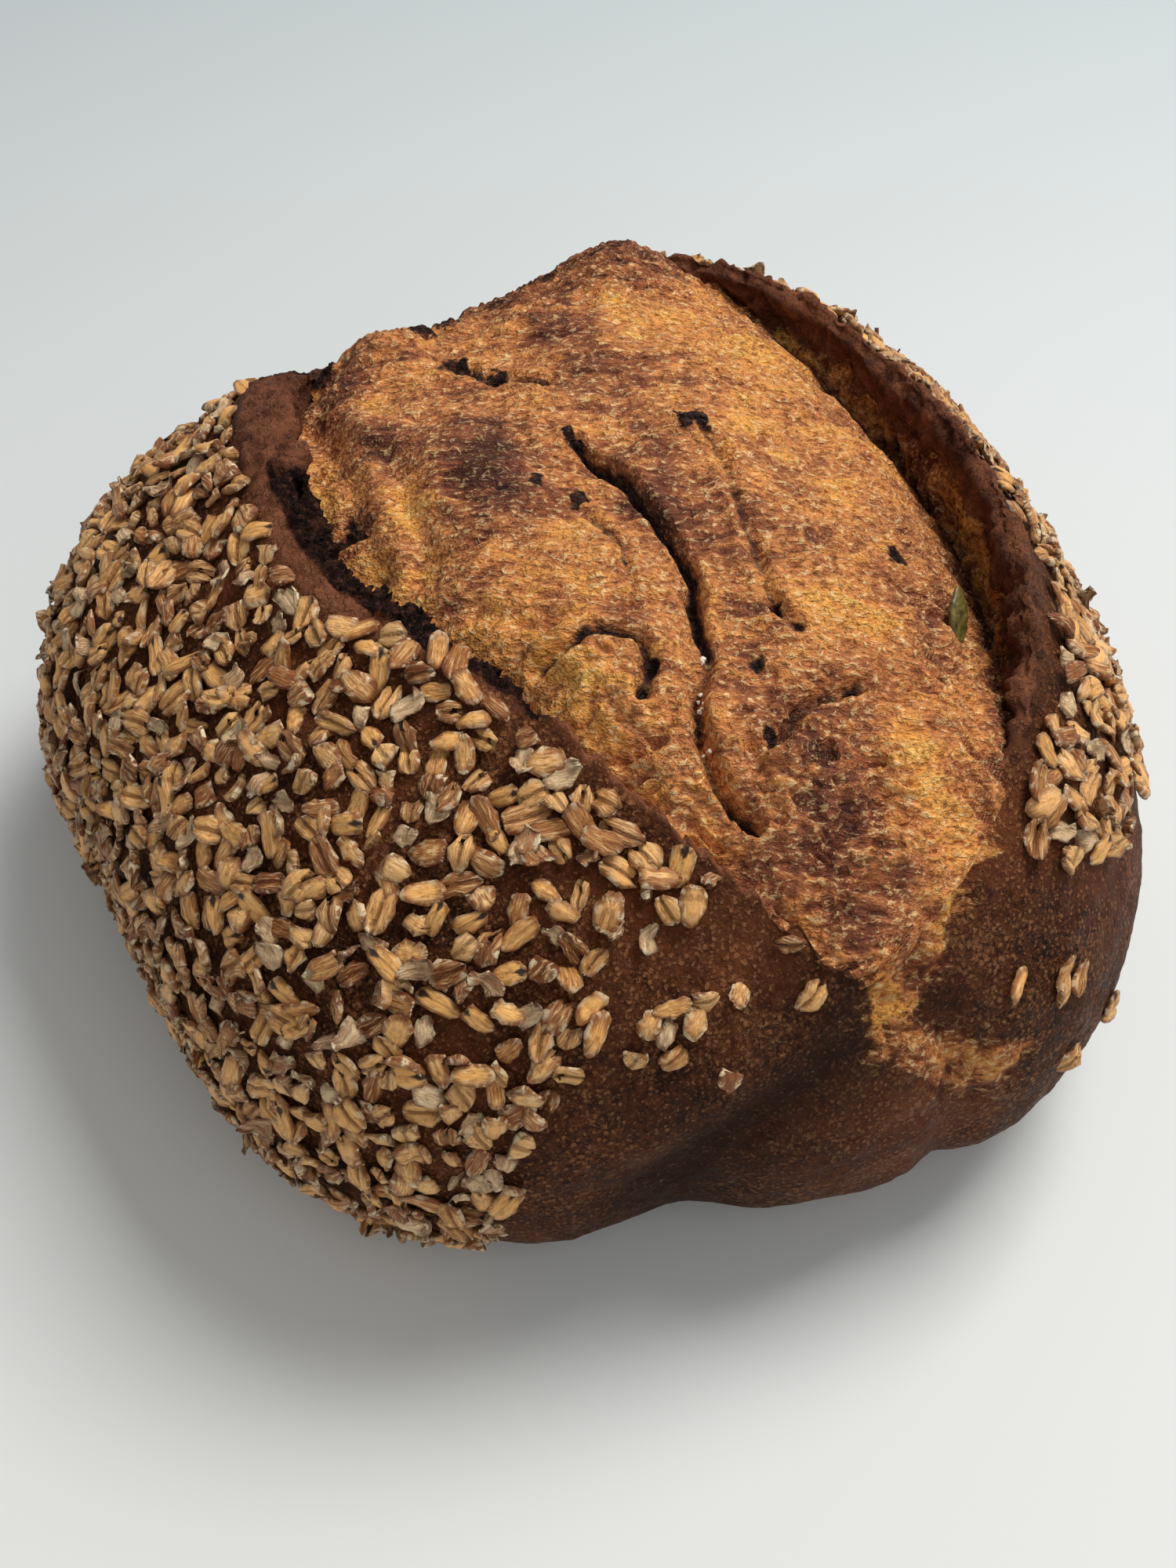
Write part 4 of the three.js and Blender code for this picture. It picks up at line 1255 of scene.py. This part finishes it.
blotch_place = put(tree, "CombineXYZ", {0: parts.outputs["X"], 1: parts.outputs["Y"], 2: far_seed})
blotch = cloud(tree, blotch_place.outputs[0], 2.6, 3.0)
# Each oat has its own tone, with streaks and wrinkles, and painted cream highlights on its raised streaks.
tone = plus(tree, times(tree, own, 0.6), times(tree, streak, 0.9))
straw = stir(tree, fade(tree, tone, 0.36, 0.86), take["Dark"], take["Light"])
wrinkle = times(tree, fade(tree, blotch, 0.5, 0.36), 0.4)
straw = stir(tree, wrinkle, straw, take["Dark"])
cream = times(tree, fade(tree, streak, 0.52, 0.68), 0.6)
straw = stir(tree, cream, straw, paint(255, 221, 168))
# The rim is toasted and darkened with painted shade, and its frayed parts are bran.
from_middle = times(tree, aside, aside)
from_middle = plus(tree, from_middle, times(tree, lengthwise, lengthwise))
toasted_and_shaded = times(tree, fade(tree, from_middle, 0.4, 0.95), 0.78)
straw = stir(tree, toasted_and_shaded, straw, paint(118, 60, 28))
edge = sums(tree, "MAXIMUM", aside, lengthwise)
frayed = times(tree, fade(tree, edge, 0.55, 0.95), fade(tree, blotch, 0.48, 0.6))
straw = stir(tree, times(tree, frayed, take["Bran"]), straw, paint(255, 232, 190))
# The furrow runs down the middle, and some oats show the dark germ at one end.
line = times(tree, fade(tree, aside, 0.24, 0.03), fade(tree, lengthwise, 0.95, 0.6))
line = times(tree, line, times(tree, take["Furrow"], fade(tree, blotch, 0.3, 0.5)))
straw = stir(tree, times(tree, line, 0.72), straw, paint(122, 64, 28))
from_germ = put(tree, "Math", {0: minus(tree, parts.outputs["X"], 0.72)}, operation="ABSOLUTE")
germ = plus(tree, from_germ.outputs[0], aside)
germ = plus(tree, germ, times(tree, blotch, 0.5))
germ = times(tree, fade(tree, germ, 0.78, 0.45), fade(tree, own, 0.5, 0.56))
straw = stir(tree, times(tree, germ, take["Germ"]), straw, paint(58, 36, 24))
tree.links.new(straw, give["Color"])
ridges = minus(tree, times(tree, streak, 1.2), line)
tree.links.new(ridges, give["Height"])
print("shared effects:", [group.name for group in bpy.data.node_groups])

# %% [markdown]
# ### The crust
#
# Between the oats the crust is a deep brown that wanders from red-brown to nearly black, dusted with pale
# blisters. The lips are darker and more purple, with painted shade on the right lip's inner wall, the tear at
# the front is golden, char covers the ridge, and painted shade darkens the valley down to the notch at the
# base.

# %% Crust finish
crust_finish, tree, shader, where = new_material("crust", Roughness=0.55, Specular_IOR_Level=0.1)
broad = cloud(tree, where, 42.0, 5.0, 0.62)
brown = ramp(tree, broad, [(0.34, paint(30, 15, 10)), (0.5, paint(60, 30, 18)), (0.68, paint(104, 55, 31))])
mottle = fade(tree, cloud(tree, where, 520.0, 5.0, 0.65, 0.6), 0.36, 0.66)
brown = stir(tree, times(tree, mottle, 0.34), brown, paint(146, 84, 48))
speck = use_effect(tree, blisters, {"Vector": where, "Scale": 840.0, "Amount": 1.3})
fine_speck = use_effect(tree, blisters, {"Vector": where, "Scale": 1500.0, "Amount": 1.5})
brown = stir(tree, times(tree, speck["Mask"], 0.62), brown, paint(186, 128, 84))
brown = stir(tree, times(tree, fine_speck["Mask"], 0.5), brown, paint(150, 94, 58))
lip_tone = ramp(tree, cloud(tree, where, 210.0, 6.0, 0.72, 0.5),
                [(0.36, paint(30, 15, 11)), (0.5, paint(92, 53, 38)), (0.6, paint(136, 84, 58)),
                 (0.7, paint(168, 104, 58))])
# The lips' dark tone is partly their bake and partly painted shade on the right lip's inner wall.
brown = stir(tree, times(tree, mark(tree, "dark_lip_and_shade"), 0.92), brown, lip_tone)
streaky = fade(tree, cloud(tree, where, 300.0, 5.0, 0.7), 0.38, 0.62, 0.2, 0.85)
brown = stir(tree, times(tree, mark(tree, "strip"), streaky), brown, paint(156, 98, 70))
tear = fibres(tree, where)
ragged_edge = times(tree, minus(tree, tear["Height"], 0.9), 1.2)
gold_share = fade(tree, plus(tree, mark(tree, "golden"), ragged_edge), 0.15, 0.8)
# Painted shade darkens the valley down to the notch at the base.
brown = stir(tree, times(tree, mark(tree, "notch_shade"), 0.75), brown, paint(34, 16, 10))
brown = stir(tree, gold_share, brown, tear["Color"])
burnt_and_shaded = use_effect(tree, charring_and_shade, {"Vector": where, "Color": brown, "Burn And Shade": mark(tree, "char_and_shade")})
tree.links.new(burnt_and_shaded["Color"], shader.inputs["Base Color"])
gloss = fade(tree, cloud(tree, where, 260.0, 3.0), 0.3, 0.7, 0.46, 0.7)
tree.links.new(minus(tree, gloss, times(tree, burnt_and_shaded["Mask"], 0.12)), shader.inputs["Roughness"])
granular = times(tree, cloud(tree, where, 560.0, 6.0, 0.72), 4.5)
lumps = plus(tree, times(tree, speck["Height"], 1.6), granular)
lumps = plus(tree, lumps, times(tree, tear["Height"], gold_share, 3.0))
bump(tree, shader, lumps, 0.9, 0.5)
crust.data.materials.append(crust_finish)

# %% [markdown]
# ### The torn dough
#
# The baked dough goes from pale gold in the sheltered hollows to a purple brown on the exposed ridges, in
# short flecks along the fibres, with a painted highlight on raised fibres, painted shade on low ones and
# under the right lip, and painted black shade in the creases. One mapping node turns and stretches the noise
# so that it follows them.

# %% Dough finish
dough_finish, tree, shader, where = new_material("torn_dough", Roughness=0.6, Specular_IOR_Level=0.2)
torn = fibres(tree, where)
speck = use_effect(tree, blisters, {"Vector": where, "Scale": 1100.0, "Amount": 0.95})
baked = stir(tree, times(tree, speck["Mask"], 0.4), torn["Color"], paint(226, 176, 126))
burnt_and_shaded = use_effect(tree, charring_and_shade, {"Vector": where, "Color": baked, "Burn And Shade": mark(tree, "char_and_shade")})
tree.links.new(burnt_and_shaded["Color"], shader.inputs["Base Color"])
tree.links.new(fade(tree, torn["Height"], 0.6, 1.2, 0.68, 0.5), shader.inputs["Roughness"])
height = plus(tree, times(tree, torn["Height"], 2.4), times(tree, speck["Height"], 0.5))
bump(tree, shader, height, 1.0, 0.75)
torn_dough.data.materials.append(dough_finish)


# %% [markdown]
# ### Oats, seed and crumbs
#
# All five kinds of oat use the straw grain with their own tones: the smooth ones show their germ, the
# furrowed ones a dark line, and the husk scraps are the palest.

# %% Oat, seed and crumb finishes
def oat_finish(name, dark, light, furrow, germ, bran, relief):
    """A finish for one kind of oat: its tones, its furrow, germ and bran as shares, its relief in mm."""
    material, tree, shader, _ = new_material(name, Roughness=0.42, Specular_IOR_Level=0.36)
    inputs = {"Grain": mark(tree, "grain", "Vector"), "Dark": paint(*dark), "Light": paint(*light)}
    inputs.update({"Furrow": furrow, "Germ": germ, "Bran": bran})
    straw = use_effect(tree, straw_grain, inputs)
    tree.links.new(straw["Color"], shader.inputs["Base Color"])
    bump(tree, shader, straw["Height"], 1.0, relief)
    return material


OAT_TONES = {
    "furrowed_oats": ((132, 68, 30), (255, 191, 116), 1.0, 0.35, 0.7, 0.6),
    "smooth_oats": ((142, 74, 30), (255, 189, 108), 0.35, 1.0, 0.5, 0.44),
    "split_oats": ((126, 64, 30), (255, 193, 120), 1.0, 0.2, 0.8, 0.6),
    "broken_oats": ((136, 72, 34), (255, 198, 128), 0.8, 0.4, 0.9, 0.6),
    "husk_scraps": ((176, 104, 58), (255, 218, 170), 0.3, 0.5, 1.0, 0.9),
}
for kind_name, piece in oat_pieces.items():
    piece.data.materials.append(oat_finish(kind_name, *OAT_TONES[kind_name]))

seed_finish, tree, shader, where = new_material("pumpkin_seed", Roughness=0.4, Specular_IOR_Level=0.45)
veins = cloud(tree, where, 900.0, 4.0)
tree.links.new(
    ramp(tree, veins, [(0.3, paint(60, 50, 22)), (0.6, paint(112, 98, 46)), (0.8, paint(158, 142, 84))]),
    shader.inputs["Base Color"],
)
bump(tree, shader, veins, 0.4, 0.15)
pumpkin_seed.data.materials.append(seed_finish)

flour_finish, tree, shader, where = new_material("flour_crumbs", Roughness=0.9, Specular_IOR_Level=0.2)
powder = cloud(tree, where, 2400.0, 3.0)
tree.links.new(stir(tree, powder, paint(226, 206, 176), paint(250, 244, 232)), shader.inputs["Base Color"])
bump(tree, shader, powder, 0.5, 0.1)
flour_crumbs.data.materials.append(flour_finish)
print("materials:", [material.name for material in bpy.data.materials])

# %% [markdown]
# ## Riding on the frame
#
# The loaf is one body, so every piece rides on the root. The pieces that make up the loaf's surface
# stand for the one solid, which is hidden, and each has its own finish made in this script.

# %% Tie every piece to the frame
for piece in (crust, torn_dough, *oat_pieces.values(), pumpkin_seed, flour_crumbs):
    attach(piece, "root")
    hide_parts("oat_loaf")
print("pieces ride on the root:", 4 + len(oat_pieces))

# %% [markdown]
# ## Floor, light and camera
#
# The loaf lies on a pale surface, with painted shade that makes it cooler and darker further away, lit softly
# from a window behind it and to its right, so the soft shadow falls to the lower left. The camera looks down
# on the bare front end from close by.

# %% Camera
CAMERA_AZIMUTH = math.radians(66.5)
CAMERA_ELEVATION = math.radians(49.8)
CAMERA_DISTANCE = 0.365
CAMERA_TARGET = Vector((0.0178, -0.0100, 0.0456))
CAMERA_LENS = 42

back = Vector((
    math.sin(CAMERA_AZIMUTH) * math.cos(CAMERA_ELEVATION),
    -math.cos(CAMERA_AZIMUTH) * math.cos(CAMERA_ELEVATION),
    math.sin(CAMERA_ELEVATION),
))
to_the_right = Vector((math.cos(CAMERA_AZIMUTH), math.sin(CAMERA_AZIMUTH), 0))
camera_data = bpy.data.cameras.new("camera")
camera = bpy.data.objects.new("camera", camera_data)
bpy.context.scene.collection.objects.link(camera)
camera.location = CAMERA_TARGET + back * CAMERA_DISTANCE
camera.rotation_euler = back.to_track_quat("Z", "Y").to_euler()
camera_data.lens = CAMERA_LENS
camera_data.sensor_width = 36
camera_data.clip_start = 0.01
bpy.context.scene.camera = camera
print("camera at", tuple(round(value, 3) for value in camera.location))

# %% Floor
FLOOR_SIDE = 6
# Painted shade makes the floor cooler and darker from this near to this far.
FLOOR_SHADE = (-0.35, 0.75)
deselect_all()
bpy.ops.mesh.primitive_plane_add(size=FLOOR_SIDE, location=(0, 0, 0))
floor = bpy.context.object
floor.name = "floor"
floor_finish, tree, shader, where = new_material("floor", Roughness=0.75, Specular_IOR_Level=0.2)
away_turn = (0, 0, -CAMERA_AZIMUTH)
turned = put(tree, "Mapping", {"Vector": where, "Rotation": away_turn}, vector_type="POINT").outputs[0]
depth_in_view = put(tree, "SeparateXYZ", {0: turned}).outputs["Y"]
tree.links.new(
    stir(tree, fade(tree, depth_in_view, *FLOOR_SHADE), paint(233, 234, 232), paint(182, 192, 196)),
    shader.inputs["Base Color"],
)
floor.data.materials.append(floor_finish)


# %% Light
def soft_light(name, place, size, power, colour):
    """A square lamp that faces the loaf."""
    lamp = bpy.data.lights.new(name, "AREA")
    lamp.size = size
    lamp.energy = power
    lamp.color = colour
    holder = bpy.data.objects.new(name, lamp)
    bpy.context.scene.collection.objects.link(holder)
    holder.location = place
    holder.rotation_euler = (Vector(place) - Vector((0, 0, 0.05))).to_track_quat("Z", "Y").to_euler()
    return holder


away = Vector((-math.sin(CAMERA_AZIMUTH), math.cos(CAMERA_AZIMUTH), 0))
WINDOW = dict(size=0.6, power=14.2, colour=(1.0, 0.985, 0.96))
FILL = dict(size=1.0, power=3.4, colour=(1.0, 0.99, 0.97))
ROOM_COLOUR = (0.93, 0.95, 0.96, 1)
ROOM_STRENGTH = 0.29
window_place = away * 0.36 + to_the_right * 0.49 + Vector((0, 0, 1.15))
soft_light("window", window_place, **WINDOW)
fill_place = -away * 0.9 + to_the_right * 0.3 + Vector((0, 0, 1.1))
soft_light("fill", fill_place, **FILL)
world = bpy.data.worlds.new("room")
bpy.context.scene.world = world
world.use_nodes = True
room = world.node_tree.nodes["Background"].inputs
room["Color"].default_value = ROOM_COLOUR
room["Strength"].default_value = ROOM_STRENGTH
bpy.context.scene.view_settings.view_transform = "Standard"
print("window light from", tuple(round(value, 2) for value in window_place))
